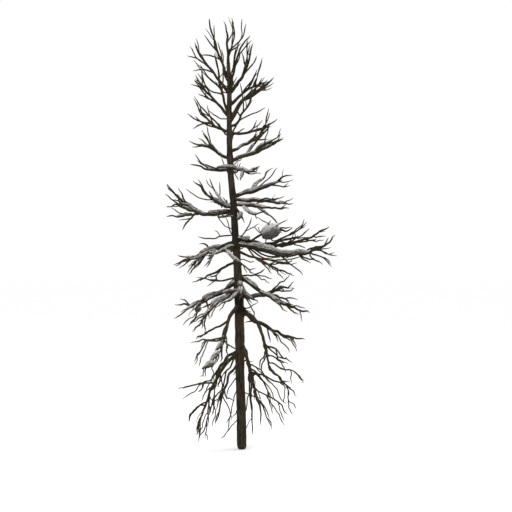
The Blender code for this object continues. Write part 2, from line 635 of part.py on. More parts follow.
def make_masses(tree, room, plans, fused):
    """The masses of twigs: stem, forks, seeded twigs and caught snow, joined limb by limb."""
    for limb, _, _, _, _, forks in plans:
        owner = limb.name + "_twigs"
        for index, fork in list(forks.items()):
            if room.clear(owner, *fork):
                room.add(owner, *fork)
            else:
                del forks[index]
    clots = {}
    for name, index, share, half_length, half_width in SNOW_LUMPS:
        forks = next(plan[5] for plan in plans if plan[0].name == name)
        if index in forks:
            centre, ahead = point_at(forks[index][0], share)
            spare = ahead * (half_length - half_width)
            room.add(name + "_twigs", [centre - spare, centre + spare], [half_width, half_width])
            clots.setdefault(name, []).append((centre, ahead, half_length, half_width))
    for limb, rng, axis, _, stem, forks in plans:
        owner = limb.name + "_twigs"
        twigs = list(twig_courses(axis, limb.girth / 2, max(limb.share, 0.22), rng))
        for course, radii in forks.values():
            twigs += twig_courses(course, radii[0], 0.15, rng)
        branches = list(forks.values())
        for twig in twigs:
            if room.clear(owner, *twig):
                room.add(owner, *twig)
                branches.append(twig)
        solid = tube(owner, *stem, STEM_SIDES)
        parts = [tube("twig", *branch, TWIG_SIDES) for branch in branches]
        parts += [lump("snow", *clot) for clot in clots.get(limb.name, [])]
        if limb.name in fused:
            parts.append(fused[limb.name])
        combine(solid, parts, "UNION")
        publish(solid, owner, tree, WOOD_COLOUR, 0.9)


def build():
    for old in list(bpy.data.objects):
        bpy.data.objects.remove(old)
    tree = bpy.data.collections.new("dead_conifer")
    bpy.context.scene.collection.children.link(tree)
    room = Room()
    make_trunk(tree, room)
    plans = lay_out(room)
    fused = make_snow_covers(tree, room, plans)
    make_boughs(tree, plans)
    make_masses(tree, room, plans, fused)


build()
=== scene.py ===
"""The looks of a dead conifer, ten metres tall, with old snow on its level boughs."""
import math
import random
from collections import namedtuple

import bmesh
import bpy
import numpy as np
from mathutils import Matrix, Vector, geometry, noise


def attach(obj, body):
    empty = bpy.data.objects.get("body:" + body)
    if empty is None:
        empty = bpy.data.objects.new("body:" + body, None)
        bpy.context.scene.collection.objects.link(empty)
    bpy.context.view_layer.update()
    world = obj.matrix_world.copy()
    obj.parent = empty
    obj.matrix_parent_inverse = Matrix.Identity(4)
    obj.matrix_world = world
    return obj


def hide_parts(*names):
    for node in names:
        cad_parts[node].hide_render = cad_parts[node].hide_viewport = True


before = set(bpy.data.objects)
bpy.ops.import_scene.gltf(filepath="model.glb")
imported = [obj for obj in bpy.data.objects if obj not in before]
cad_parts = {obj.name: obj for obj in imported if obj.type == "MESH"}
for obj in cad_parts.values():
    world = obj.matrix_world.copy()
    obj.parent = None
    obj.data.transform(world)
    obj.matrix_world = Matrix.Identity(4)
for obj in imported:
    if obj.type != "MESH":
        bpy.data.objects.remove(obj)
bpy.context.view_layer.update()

# ------------------------------------------------------------------ the trunk
# One dead softwood pole, standing on a flat cut at the ground.  Its dry bark still holds, split
# into long upright plates, with a swollen collar round the root of every limb.

# height, sideways lean, diameter
TRUNK = (
    (0.00, 0.000, 0.140),
    (0.03, 0.000, 0.196),
    (0.08, 0.000, 0.218),
    (0.16, -0.002, 0.226),
    (0.90, -0.012, 0.216),
    (1.75, -0.040, 0.206),
    (2.55, -0.046, 0.222),
    (3.40, -0.062, 0.214),
    (4.10, -0.094, 0.186),
    (5.20, -0.166, 0.158),
    (5.70, -0.195, 0.152),
    (6.20, -0.248, 0.150),
    (7.00, -0.285, 0.132),
    (7.80, -0.290, 0.118),
    (8.30, -0.282, 0.108),
    (8.90, -0.310, 0.074),
)
TRUNK_TOP = TRUNK[-1][0]
TRUNK_SIDES = 56
TRUNK_STEP = 0.016          # between the rings of its mesh
PLATE_WIDTH = 1 / 44        # of the plates of bark
PLATE_LENGTH = 1 / 5.5
FISSURE_DEPTH = 0.0045      # of the splits between the plates
FISSURE_SHARE = 0.16        # how much of the bark the splits take up
TRUNK_SWELL = 0.006         # how far the trunk swells in and out along its height
TRUNK_SWELLS = 5.0          # swells to a metre
BARK_ROUGH = 0.0022         # height of the small lumps in the bark
BARK_LUMPS = 26.0           # lumps to a metre
COLLAR_SWELL = 0.016        # how far the trunk swells round the root of a limb of usual girth
COLLAR_GIRTH = 0.08         # the usual girth
COLLAR_SPREAD = 0.62        # how far a swelling spreads, over its limb's girth
COLLAR_WIDTH = 0.8          # how wide it is, over its height
COLLAR_DROP = 0.01          # how far its middle lies below the limb's
COLLAR_REACH = 0.16         # how far above and below a root it is felt
SMOOTH_FOOT = 0.05          # height over which the bark's relief begins
UP = Vector((0.0, 0.0, 1.0))


def trunk_at(height):
    """Centre and radius of the trunk at a height."""
    heights = [row[0] for row in TRUNK]
    lean = np.interp(height, heights, [row[1] for row in TRUNK])
    diameter = np.interp(height, heights, [row[2] for row in TRUNK])
    return Vector((lean, 0.0, height)), diameter / 2


def bark_distance(height, half_span, out):
    """How far the leaning trunk stands out of its centre at a height, over a limb's thickness."""
    centre, _ = trunk_at(height)
    reaches = []
    for level in (height - half_span, height, height + half_span):
        other, radius = trunk_at(level)
        reaches.append((other - centre).dot(out) + radius)
    return max(reaches)


def toward(bearing):
    """Level unit vector along a compass bearing: 0 right, 90 back, 180 left, 270 front."""
    angle = math.radians(bearing)
    return Vector((math.cos(angle), math.sin(angle), 0.0))


# height on the trunk, bearing, level reach, rise of the tip, bow of the middle, hook (first
# over, then under its chord), girth at the trunk, share of it that is a separate bough, forks
Limb = namedtuple("Limb", "name height bearing reach rise bow hook girth share forks")
# share of the limb where it leaves, bearing, level reach, rise of its tip, bow
Fork = namedtuple("Fork", "at bearing reach rise bow")

LIMBS = (
    Limb("leader_tip", TRUNK_TOP, 150, 0.14, 0.91, 0.00, 0.00, 0.062, 0.0, (
        Fork(0.10, 325, 0.15, 0.90, -0.14), Fork(0.25, 345, 0.42, 0.62, -0.10),
        Fork(0.20, 25, 0.32, 0.24, 0.00))),
    Limb("leader_left", 8.67, 200, 0.42, 1.22, -0.05, 0.00, 0.058, 0.0, (
        Fork(0.40, 172, 0.32, 0.38, 0.02), Fork(0.25, 190, 0.47, 0.10, 0.06))),
    Limb("leader_right", 8.60, 12, 0.44, 0.92, 0.17, 0.03, 0.058, 0.0, (
        Fork(0.46, 340, 0.32, 0.32, 0.00), Fork(0.10, 310, 0.25, 0.42, 0.00))),
    Limb("top_right_a", 8.30, 15, 0.51, 1.05, -0.22, 0.05, 0.078, 0.0, (
        Fork(0.52, 165, 0.11, 0.36, 0.00), Fork(0.30, 345, 0.32, 0.42, 0.00))),
    Limb("top_left_a", 8.30, 175, 0.77, 1.08, -0.06, 0.00, 0.065, 0.0, (
        Fork(0.36, 205, 0.68, 0.38, 0.05), Fork(0.38, 150, 0.60, 0.06, 0.03),
        Fork(0.62, 188, 0.26, 0.36, 0.00))),
    Limb("top_back_a", 8.02, 88, 0.75, 0.75, -0.08, 0.00, 0.065, 0.0, (
        Fork(0.35, 60, 0.40, 0.30, 0.00), Fork(0.50, 132, 0.40, 0.24, 0.00))),
    Limb("top_right_b", 7.98, 24, 0.94, 0.53, 0.10, 0.00, 0.072, 0.0, (
        Fork(0.45, 325, 0.26, 0.46, 0.00), Fork(0.62, 20, 0.26, 0.62, -0.04))),
    Limb("top_left_b", 7.84, 230, 0.45, 1.20, -0.12, 0.00, 0.065, 0.0, (
        Fork(0.28, 202, 0.66, 0.30, -0.03), Fork(0.36, 160, 0.54, 0.58, -0.03))),
    Limb("top_left_c", 7.75, 165, 0.80, 0.86, 0.00, 0.00, 0.072, 0.0, (
        Fork(0.42, 200, 0.40, 0.34, 0.00), Fork(0.35, 138, 0.55, 0.16, 0.00),
        Fork(0.60, 186, 0.34, 0.10, 0.02))),
    Limb("top_right_c", 7.68, 345, 0.98, 0.85, 0.06, 0.06, 0.103, 0.0, (
        Fork(0.58, 25, 0.32, 0.24, 0.00), Fork(0.42, 315, 0.62, 0.14, 0.05),
        Fork(0.30, 8, 0.46, 0.56, -0.05))),
    Limb("top_front_a", 7.42, 300, 1.00, 0.72, -0.20, 0.00, 0.065, 0.0, (
        Fork(0.45, 250, 0.42, 0.12, 0.00), Fork(0.60, 335, 0.20, 0.25, 0.00))),
    Limb("top_left_d", 7.32, 150, 0.76, 0.60, -0.12, 0.00, 0.072, 0.0, (
        Fork(0.12, 196, 0.66, 0.74, -0.08), Fork(0.46, 208, 0.46, -0.16, 0.05),
        Fork(0.50, 170, 0.58, 0.22, -0.05))),
    Limb("top_right_d", 7.26, 4, 1.02, 0.32, -0.08, 0.00, 0.065, 0.0, (
        Fork(0.28, 50, 0.43, 0.35, -0.05), Fork(0.70, 320, 0.17, 0.40, 0.00))),
    Limb("top_back_b", 7.05, 82, 0.95, 0.50, -0.05, 0.00, 0.072, 0.0, (
        Fork(0.38, 122, 0.50, 0.20, 0.00), Fork(0.50, 50, 0.42, 0.20, 0.00))),
    Limb("upper_right_a", 6.88, 34, 1.08, 0.62, -0.06, 0.00, 0.076, 0.0, (
        Fork(0.55, 5, 0.30, 0.24, 0.00), Fork(0.34, 62, 0.50, 0.28, 0.00),
        Fork(0.44, 12, 0.44, 0.06, 0.02))),
    Limb("upper_left_a", 6.72, 190, 0.88, 0.35, 0.04, 0.00, 0.076, 0.0, (
        Fork(0.25, 228, 0.44, 0.42, -0.05), Fork(0.32, 152, 0.46, 0.30, 0.00),
        Fork(0.50, 176, 0.42, 0.06, 0.03))),
    Limb("upper_right_b", 6.66, 348, 1.17, 0.43, -0.04, 0.00, 0.089, 0.0, (
        Fork(0.24, 10, 0.52, 0.66, 0.00), Fork(0.38, 322, 0.78, 0.40, 0.00),
        Fork(0.56, 355, 0.42, 0.26, 0.00))),
    Limb("upper_left_b", 6.42, 168, 0.90, 0.14, -0.05, 0.00, 0.069, 0.0, (
        Fork(0.48, 135, 0.33, 0.22, 0.00), Fork(0.18, 222, 0.50, 0.10, 0.00))),
    Limb("upper_right_c", 6.46, 316, 0.92, 0.00, -0.12, 0.00, 0.069, 0.0, (
        Fork(0.30, 268, 0.40, -0.26, 0.00), Fork(0.60, 345, 0.26, 0.10, 0.00))),
    Limb("upper_back_a", 6.36, 84, 1.05, 0.20, -0.05, 0.00, 0.069, 0.0, (
        Fork(0.40, 120, 0.50, 0.10, 0.00), Fork(0.48, 60, 0.45, 0.12, 0.00))),
    Limb("middle_right_a", 5.84, 19, 1.38, 0.50, -0.05, 0.00, 0.090, 0.0, (
        Fork(0.25, 48, 0.62, 0.52, 0.00), Fork(0.35, 343, 0.58, 0.20, 0.00),
        Fork(0.60, 33, 0.55, -0.02, 0.00))),
    Limb("middle_right_b", 5.73, 338, 1.38, -0.10, -0.03, 0.00, 0.073, 0.0, (
        Fork(0.50, 5, 0.55, 0.02, 0.00), Fork(0.40, 315, 0.40, 0.08, 0.00))),
    Limb("middle_right_c", 5.62, 318, 1.58, -0.16, 0.00, 0.00, 0.078, 0.0, (
        Fork(0.14, 300, 0.98, -0.16, -0.14), Fork(0.42, 322, 0.58, -0.36, 0.00))),
    Limb("middle_back_a", 5.66, 97, 1.35, 0.12, -0.10, 0.00, 0.078, 0.0, (
        Fork(0.35, 138, 0.70, 0.10, 0.00), Fork(0.45, 62, 0.62, 0.10, 0.00))),
    Limb("middle_left_a", 5.46, 187, 1.46, 0.60, -0.31, -0.02, 0.101, 0.36, (
        Fork(0.42, 158, 0.84, -0.10, 0.00), Fork(0.60, 208, 0.40, 0.12, 0.00),
        Fork(0.46, 212, 0.42, -0.44, 0.05), Fork(0.66, 150, 0.30, 0.26, 0.00),
        Fork(0.54, 176, 0.58, 0.05, 0.06), Fork(0.50, 200, 0.66, 0.34, -0.06))),
    Limb("middle_left_b", 5.56, 225, 1.17, 0.55, -0.10, 0.00, 0.067, 0.0, (
        Fork(0.15, 142, 0.46, 0.64, 0.00), Fork(0.45, 255, 0.40, 0.15, 0.00))),
    Limb("broad_right_a", 4.69, 355, 2.21, 0.21, -0.33, 0.05, 0.105, 0.64, (
        Fork(0.70, 25, 0.34, 0.16, 0.04), Fork(0.72, 350, 0.58, -0.12, 0.03),
        Fork(0.70, 330, 0.54, -0.34, 0.00), Fork(0.70, 300, 0.25, -0.24, 0.00))),
    Limb("broad_right_b", 4.81, 20, 2.24, 0.33, -0.29, 0.00, 0.095, 0.0, (
        Fork(0.24, 14, 1.10, 0.50, -0.10), Fork(0.32, 348, 0.96, 0.40, -0.02),
        Fork(0.12, 30, 1.10, 0.33, 0.10), Fork(0.80, 350, 0.34, 0.03, -0.03),
        Fork(0.50, 44, 0.42, 0.22, -0.02), Fork(0.56, 2, 0.62, 0.10, 0.00),
        Fork(0.40, 332, 0.66, 0.14, 0.00))),
    Limb("broad_right_c", 4.52, 320, 1.60, -0.50, 0.00, 0.00, 0.062, 0.0, (
        Fork(0.22, 344, 1.12, 0.00, -0.08), Fork(0.40, 302, 0.66, -0.20, 0.00),
        Fork(0.55, 338, 0.66, 0.04, -0.03))),
    Limb("broad_front", 4.66, 234, 0.94, -0.28, 0.02, 0.00, 0.078, 0.0, (
        Fork(0.30, 300, 1.30, -0.55, -0.05), Fork(0.62, 200, 0.28, -0.02, 0.00))),
    Limb("broad_left_a", 4.72, 172, 1.34, -0.54, 0.04, 0.00, 0.100, 0.16, (
        Fork(0.70, 190, 0.36, 0.10, 0.00), Fork(0.48, 215, 0.40, -0.28, 0.00),
        Fork(0.45, 222, 0.50, -0.50, 0.02), Fork(0.28, 242, 0.42, -0.42, 0.03),
        Fork(0.36, 158, 0.30, 0.16, 0.05), Fork(0.60, 200, 0.44, -0.12, 0.00),
        Fork(0.25, 200, 0.92, -0.44, 0.00))),
    Limb("broad_back", 4.70, 100, 1.70, -0.10, -0.12, 0.00, 0.090, 0.0, (
        Fork(0.30, 138, 0.90, 0.05, 0.00), Fork(0.42, 66, 0.80, 0.08, 0.00))),
    Limb("broad_left_b", 4.27, 220, 1.22, -0.40, 0.00, 0.00, 0.062, 0.0, (
        Fork(0.28, 248, 0.66, -0.34, 0.00),)),
    Limb("low_right_a", 3.90, 345, 1.58, -0.74, -0.12, 0.00, 0.101, 0.30, (
        Fork(0.50, 318, 0.36, -0.28, 0.00), Fork(0.66, 12, 0.34, -0.22, 0.00),
        Fork(0.45, 15, 0.62, -0.04, 0.00), Fork(0.60, 330, 0.30, -0.02, 0.00))),
    Limb("low_right_b", 3.50, 22, 1.26, 0.34, -0.10, 0.00, 0.078, 0.0, (
        Fork(0.48, 340, 0.52, -0.14, 0.00), Fork(0.50, 50, 0.50, 0.20, 0.00))),
    Limb("low_left_a", 3.78, 176, 1.40, -0.45, -0.14, 0.00, 0.100, 0.15, (
        Fork(0.60, 195, 0.48, -0.08, -0.03), Fork(0.57, 206, 0.68, -0.42, 0.02),
        Fork(0.55, 225, 0.38, -0.58, 0.05), Fork(0.50, 290, 0.26, -0.45, 0.03),
        Fork(0.25, 202, 0.72, -0.40, 0.02), Fork(0.74, 150, 0.34, 0.08, 0.00))),
    Limb("low_left_b", 3.60, 224, 1.28, -0.83, 0.10, 0.00, 0.095, 0.0, (
        Fork(0.52, 200, 0.44, -0.26, -0.02), Fork(0.66, 245, 0.16, -0.36, 0.00),
        Fork(0.40, 170, 0.40, -0.10, 0.00))),
    Limb("low_front", 3.66, 274, 0.72, -0.20, 0.06, 0.00, 0.090, 0.0, (
        Fork(0.24, 184, 0.66, -0.10, 0.03), Fork(0.20, 352, 0.42, -0.24, -0.03),
        Fork(0.46, 204, 0.58, -0.34, 0.00), Fork(0.55, 330, 0.36, -0.20, 0.00))),
    Limb("low_back", 3.76, 92, 1.40, -0.28, -0.05, 0.00, 0.078, 0.0, (
        Fork(0.35, 130, 0.65, -0.15, 0.00), Fork(0.45, 58, 0.65, -0.15, 0.00))),
    Limb("hanging_right_a", 3.13, 12, 1.40, -0.60, -0.12, 0.00, 0.102, 0.35, (
        Fork(0.50, 330, 0.18, -0.28, 0.00), Fork(0.73, 342, 0.24, -0.16, 0.00),
        Fork(0.83, 50, 0.14, -0.27, 0.00))),
    Limb("hanging_right_b", 3.10, 314, 0.93, -1.22, 0.43, 0.00, 0.102, 0.42, (
        Fork(0.66, 12, 0.62, -0.38, 0.08), Fork(0.88, 340, 0.80, -0.42, 0.05),
        Fork(0.71, 235, 0.24, -0.42, 0.06), Fork(0.92, 350, 0.54, -1.12, 0.10),
        Fork(0.78, 32, 0.46, -0.26, 0.04))),
    Limb("hanging_right_c", 2.35, 302, 0.80, -1.68, 0.28, 0.00, 0.083, 0.25, (
        Fork(0.32, 340, 0.58, -0.88, 0.20), Fork(0.38, 8, 0.92, -0.36, 0.04),
        Fork(0.55, 345, 0.78, -0.62, 0.08), Fork(0.70, 322, 0.40, -0.60, 0.05))),
    Limb("hanging_left_a", 3.24, 245, 0.95, -1.15, 0.18, 0.00, 0.096, 0.22, (
        Fork(0.32, 190, 0.75, -0.42, 0.03), Fork(0.60, 170, 0.68, -0.55, 0.18),
        Fork(0.62, 202, 0.84, -0.10, 0.00), Fork(0.66, 300, 0.60, -0.20, 0.00),
        Fork(0.64, 222, 0.58, -0.78, 0.04))),
    Limb("hanging_left_b", 2.12, 195, 0.95, -1.77, 0.30, 0.00, 0.083, 0.30, (
        Fork(0.38, 165, 0.85, -0.17, 0.05), Fork(0.62, 180, 0.37, -0.36, 0.10),
        Fork(0.76, 222, 0.16, -0.50, 0.00))),
    Limb("hanging_left_c", 1.92, 236, 0.84, -1.24, 0.24, 0.00, 0.064, 0.0, (
        Fork(0.45, 208, 0.60, -1.05, 0.14), Fork(0.50, 300, 0.45, -0.25, 0.00))),
    Limb("hanging_back_a", 2.36, 74, 1.15, -0.95, 0.12, 0.00, 0.083, 0.0, (
        Fork(0.40, 112, 0.60, -0.40, 0.05), Fork(0.55, 45, 0.60, -0.40, 0.05),
        Fork(0.75, 80, 0.35, -0.70, 0.10))),
    Limb("hanging_back_b", 2.22, 128, 1.10, -1.25, 0.34, 0.00, 0.077, 0.0, (
        Fork(0.40, 98, 0.60, -0.50, 0.05), Fork(0.55, 162, 0.50, -0.45, 0.05),
        Fork(0.75, 120, 0.35, -0.60, 0.08))),
)


class Tone:
    """A value or colour in a material; sums and products of tones add their maths nodes."""

    def __init__(self, tree, socket=None):
        self.tree = tree
        self.socket = socket

    def node(self, kind, settings=(), sockets=(), output=0):
        """A node of a kind: its settings first, then the values or tones of its sockets."""
        made = self.tree.nodes.new(kind)
        for name, value in dict(settings).items():
            if name == "stops":
                while len(made.color_ramp.elements) < len(value):
                    made.color_ramp.elements.new(0.5)
                for element, (place, colour) in zip(made.color_ramp.elements, value):
                    element.position = place
                    element.color = (*colour, 1.0)
            else:
                setattr(made, name, value)
        for name, value in dict(sockets).items():
            if isinstance(value, Tone):
                self.tree.links.new(value.socket, made.inputs[name])
            else:
                made.inputs[name].default_value = value
        return Tone(self.tree, made.outputs[output])

    def maths(self, operation, first, second=0.0):
        return self.node("ShaderNodeMath", {"operation": operation}, {0: first, 1: second})

    def __add__(self, other):
        return self.maths("ADD", self, other)

    def __mul__(self, other):
        return self.maths("MULTIPLY", self, other)

    def __rsub__(self, other):
        return self.maths("SUBTRACT", other, self)

    __radd__ = __add__
    __rmul__ = __mul__

    def part(self, axis):
        """One of this vector's three parts."""
        return self.node("ShaderNodeSeparateXYZ", {}, {"Vector": self}, axis)

    def between(self, low, high):
        """The tone as a mask that runs from 0 at low to 1 at high."""
        return self.node("ShaderNodeMapRange", {"interpolation_type": "SMOOTHSTEP"},
                         {"Value": self, "From Min": low, "From Max": high})

    def mix(self, first, second):
        """Two colours mixed by this tone."""
        ends = {0: self}
        for slot, colour in ((6, first), (7, second)):
            ends[slot] = colour if isinstance(colour, Tone) else (*colour, 1.0)
        return self.node("ShaderNodeMix", {"data_type": "RGBA"}, ends, 2)

    def grain(self, scale, detail=3.0, roughness=0.55):
        """Cloudy noise over this vector, about 0.5."""
        return self.node("ShaderNodeTexNoise", {}, {
            "Vector": self, "Scale": scale, "Detail": detail, "Roughness": roughness})

    def turned(self, degrees):
        """This vector turned about the level axis that runs from front to back."""
        return self.node("ShaderNodeMapping", {}, {
            "Vector": self, "Rotation": (0.0, math.radians(degrees), 0.0)})

    def stretched(self, across, along):
        """This vector drawn out along its third axis."""
        return self.node("ShaderNodeMapping", {}, {"Vector": self, "Scale": (across, across, along)})


def new_material(name):
    """An empty material, its shader and the tone that its nodes start from."""
    finish = bpy.data.materials.new(name)
    finish.use_nodes = True
    return finish, finish.node_tree.nodes["Principled BSDF"], Tone(finish.node_tree)


def place_of(start):
    """Where a point of the surface is on the tree, in metres."""
    return start.node("ShaderNodeTexCoord", output=3)


def upward_of(start):
    """How far the surface faces up: 1 on top, -1 underneath."""
    return start.node("ShaderNodeNewGeometry", output=1).part(2)


def finish_with(shader, colour, roughness, relief, depth, gloss=0.08):
    """Plug a colour, a roughness and a height map into a shader."""
    tree = colour.tree
    bump = relief.node("ShaderNodeBump", {}, {"Height": relief, "Strength": 0.7, "Distance": depth})
    tree.links.new(colour.socket, shader.inputs["Base Color"])
    tree.links.new(roughness.socket, shader.inputs["Roughness"])
    tree.links.new(bump.socket, shader.inputs["Normal"])
    shader.inputs["Specular IOR Level"].default_value = gloss


TRUNK_BARK = (0.025, 0.0195, 0.0115)
# near black of the bark's splits, and also of the band of painted shadow below the lodged snow
TRUNK_FISSURE_AND_SHADOW = (0.008, 0.0065, 0.005)
TRUNK_OCHRE = (0.060, 0.030, 0.012)
TRUNK_GREY = (0.050, 0.042, 0.028)
TRUNK_MOSS = (0.012, 0.012, 0.008)


def trunk_material():
    """Dark brown plates, near black splits, ochre low on the pole, dark green higher up, and a band of
    painted shadow round the pole below the lodged snow.
    """
    finish, shader, start = new_material("trunk_bark")
    place = place_of(start)
    height = place.part(2)
    long_grain = place.stretched(46.0, 5.0).grain(1.0, 4.0)
    plates = place.stretched(30.0, 4.0).grain(1.0, 2.0)
    flecks = place.grain(70.0, 3.0)
    patches = place.stretched(5.0, 1.6).grain(1.0, 3.0)
    colour = long_grain.between(0.35, 0.65).mix(TRUNK_BARK, TRUNK_GREY)
    ochre = patches.between(0.50, 0.66) * height.between(0.5, 1.1) * (1 - height.between(2.6, 3.3))
    colour = (ochre * 0.75).mix(colour, TRUNK_OCHRE)
    moss = height.between(4.0, 5.0) * (1 - height.between(6.4, 7.4)) * patches.between(0.38, 0.6)
    colour = (moss * 0.85).mix(colour, TRUNK_MOSS)
    # painted shadow: the bark between about 3.1 and 3.5 m is darkened to near black, as the shade under the
    # snow lodged on the trunk
    painted_shadow_band = height.between(3.02, 3.22) * (1 - height.between(3.46, 3.62))
    colour = (painted_shadow_band * 0.75).mix(colour, TRUNK_FISSURE_AND_SHADOW)
    splits = (1 - plates.between(0.38, 0.47)) * 0.9
    colour = splits.mix(colour, TRUNK_FISSURE_AND_SHADOW)
    colour = (flecks.between(0.58, 0.72) * 0.35).mix(colour, TRUNK_GREY)
    roughness = 0.82 + flecks * 0.14
    finish_with(shader, colour, roughness, plates * 0.7 + long_grain * 0.3, 0.006)
    return finish


def into_scene(thing):
    bpy.context.scene.collection.objects.link(thing)


def swept(name, lines, sides):
    """Round tapering rods along lines of points and radii, as one mesh with closed ends."""
    data = bpy.data.curves.new(name, "CURVE")
    data.dimensions = "3D"
    data.bevel_depth = 1.0
    data.bevel_resolution = (sides - 4) // 2
    data.use_fill_caps = True
    for points, radii in lines:
        spline = data.splines.new("POLY")
        spline.points.add(len(points) - 1)
        spline.points.foreach_set("co", [c for point in points for c in (*point, 1.0)])
        spline.points.foreach_set("radius", radii)
    curve = bpy.data.objects.new(name, data)
    into_scene(curve)
    mesh = bpy.data.meshes.new_from_object(curve.evaluated_get(bpy.context.evaluated_depsgraph_get()))
    bpy.data.objects.remove(curve)
    return mesh


def rings_of(mesh, lines, sides):
    """Each ring of a swept mesh: its rod's number, its centre, radius, distance along, vertices."""
    index = 2 * sides * len(lines)          # the caps' own corners come first
    for number, (points, radii) in enumerate(lines):
        travelled = 0.0
        for ring, (centre, radius) in enumerate(zip(points, radii)):
            if ring:
                travelled += (centre - points[ring - 1]).length
            if 0 < ring < len(points) - 1:
                yield number, centre, radius, travelled, mesh.vertices[index:index + sides]
            index += sides


def dress(mesh, name, finish, nodes=()):
    """Weld a mesh's caps, make it a piece of the tree and give it its finish."""
    shape = bmesh.new()
    shape.from_mesh(mesh)
    bmesh.ops.remove_doubles(shape, verts=shape.verts, dist=0.00002)
    bmesh.ops.recalc_face_normals(shape, faces=shape.faces)
    shape.to_mesh(mesh)
    shape.free()
    mesh.materials.clear()
    mesh.materials.append(finish)
    mesh.shade_smooth()
    piece = bpy.data.objects.new(name, mesh)
    into_scene(piece)
    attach(piece, "root")
    if nodes:
        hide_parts(*nodes)
    return piece


levels = np.linspace(0.0, TRUNK_TOP, round(TRUNK_TOP / TRUNK_STEP) + 1)
trunk_line = [trunk_at(level)[0] for level in levels], [trunk_at(level)[1] for level in levels]
trunk_mesh = swept("trunk_bark", [trunk_line], TRUNK_SIDES)
for _, centre, radius, _, ring in rings_of(trunk_mesh, [trunk_line], TRUNK_SIDES):
    near = [limb for limb in LIMBS if abs(limb.height - centre.z) < COLLAR_REACH]
    for vert in ring:
        out = (vert.co - centre).normalized()
        at = vert.co
        plate = noise.noise(Vector((at.x / PLATE_WIDTH, at.y / PLATE_WIDTH, at.z / PLATE_LENGTH)))
        split = max(0.0, 1.0 - abs(plate) / FISSURE_SHARE)
        swell = noise.noise(at * TRUNK_SWELLS) * TRUNK_SWELL + noise.noise(at * BARK_LUMPS) * BARK_ROUGH
        for limb in near:
            beside = math.acos(max(-1.0, min(1.0, out.dot(toward(limb.bearing))))) * radius
            away = math.hypot(beside, (at.z - limb.height + COLLAR_DROP) * COLLAR_WIDTH)
            size = limb.girth / COLLAR_GIRTH
            swell += COLLAR_SWELL * size * math.exp(-(away / (limb.girth * COLLAR_SPREAD)) ** 2)
        ease = min(1.0, at.z / SMOOTH_FOOT)
        vert.co = at + out * (swell - split * FISSURE_DEPTH) * ease
dress(trunk_mesh, "trunk_bark", trunk_material(), ["trunk"])

# ------------------------------------------------------------------ the lines that the limbs grow along
# A limb leaves the trunk on a short level collar and follows its own reach, rise and bow.  Dead
# limbs dry crooked, so every line bends about on its way, more so the further it is out.

SEED = 4100
noise.seed_set(10)          # the bends of the limbs depend on this too
GAP = 0.0003                # clearance between neighbouring nodes of the frame
COLLAR = 0.045              # level start of each limb at the trunk
STATIONS = 7                # spans of a limb's line before it is made to flow
FORK_STATIONS = 3
LIMB_KINK = 0.016           # sideways kink of a limb, as a share of its length
FORK_KINK = LIMB_KINK * 1.6
TIP_RADIUS = 0.0130         # to which every limb tapers
TAPER_POWER = 0.70          # below 1, a limb stays thick far out
FORK_THICKNESS = 0.68       # a fork's root, as a share of the limb's thickness there
FORK_RADIUS = 0.018         # least radius of a fork's root
LINE_STEP = 0.022           # between the points of a flowing line
BEND_WIDE = 0.070           # how far the slow bends of a line wander
BEND_TIGHT = 0.058          # how far its short crooks do
BEND_KNOT = 0.015           # how far it jerks aside at the knots
WIDE_BENDS = 2.3            # slow bends to a metre
TIGHT_BENDS = 4.2           # short crooks to a metre
KNOT_BENDS = 13.0           # knots to a metre
BEND_FREE = 0.30            # how far out of the trunk a line is free to bend
BEND_FULL = 0.85            # share of a limb's length at which it is the most crooked
ROOT_BEND = 0.40            # its slow bends at its root, as a share of those out there
ROOT_CROOK = 0.12           # its short crooks at its root, likewise
CROOK_GROWTH = 1.3          # how fast the crooks grow on the way out
SUPPLE_GIRTH = 0.075        # a stouter limb has less of the slow bends
# heights, and how crooked the crooks and knots are there: the oldest limbs, low down, most of all
CROOK_HEIGHTS = (2.4, 4.0, 5.6, 7.8)
CROOK_SHARES = (1.5, 1.0, 1.0, 0.4)
ROOT_SWELL = 0.35           # how much thicker a line is at its very root
ROOT_LENGTH = 0.03          # over which that swelling dies away
TIP_LENGTH = 0.11           # over which every line runs out to its fine tip
TIP_SHARE = 0.42            # thickness of the tip, as a share of the line's own there


def kinked(points, rng, amount):
    """The points between the ends, each moved a little to one side."""
    for point in points[1:-1]:
        point += Vector([rng.uniform(-1, 1) * amount for _ in range(3)])
    return points


def limb_course(limb, rng):
    """Stations of a limb: a level collar at the trunk, then the swept course."""
    centre, _ = trunk_at(limb.height)
    out = toward(limb.bearing)
    if limb.height >= TRUNK_TOP:
        ahead = (centre - trunk_at(TRUNK[-2][0])[0]).normalized()
        start = centre + ahead * GAP
        collar = start + ahead * COLLAR
    else:
        start = centre + out * (bark_distance(limb.height, limb.girth / 2, out) + GAP)
        collar = start + out * COLLAR
    course = []
    for step in range(STATIONS + 1):
        t = step / STATIONS
        lift = limb.rise * t + limb.bow * math.sin(math.pi * t) + limb.hook * math.sin(math.tau * t)
        course.append(collar + out * (limb.reach - COLLAR) * t + UP * lift)
    length = math.hypot(limb.reach, limb.rise)
    return [start] + kinked(course, rng, LIMB_KINK * length)


def fork_course(fork, root, rng):
    """Stations of a fork that leaves a limb at a point."""
    out = toward(fork.bearing)
    course = []
    for step in range(FORK_STATIONS + 1):
        t = step / FORK_STATIONS
        course.append(root + out * fork.reach * t + UP * (fork.rise * t + fork.bow * math.sin(math.pi * t)))
    return kinked(course, rng, FORK_KINK * math.hypot(fork.reach, fork.rise))


def measure(points):
    """Distance along a line of points to each of them."""
    total = [0.0]
    for a, b in zip(points, points[1:]):
        total.append(total[-1] + (b - a).length)
    return total


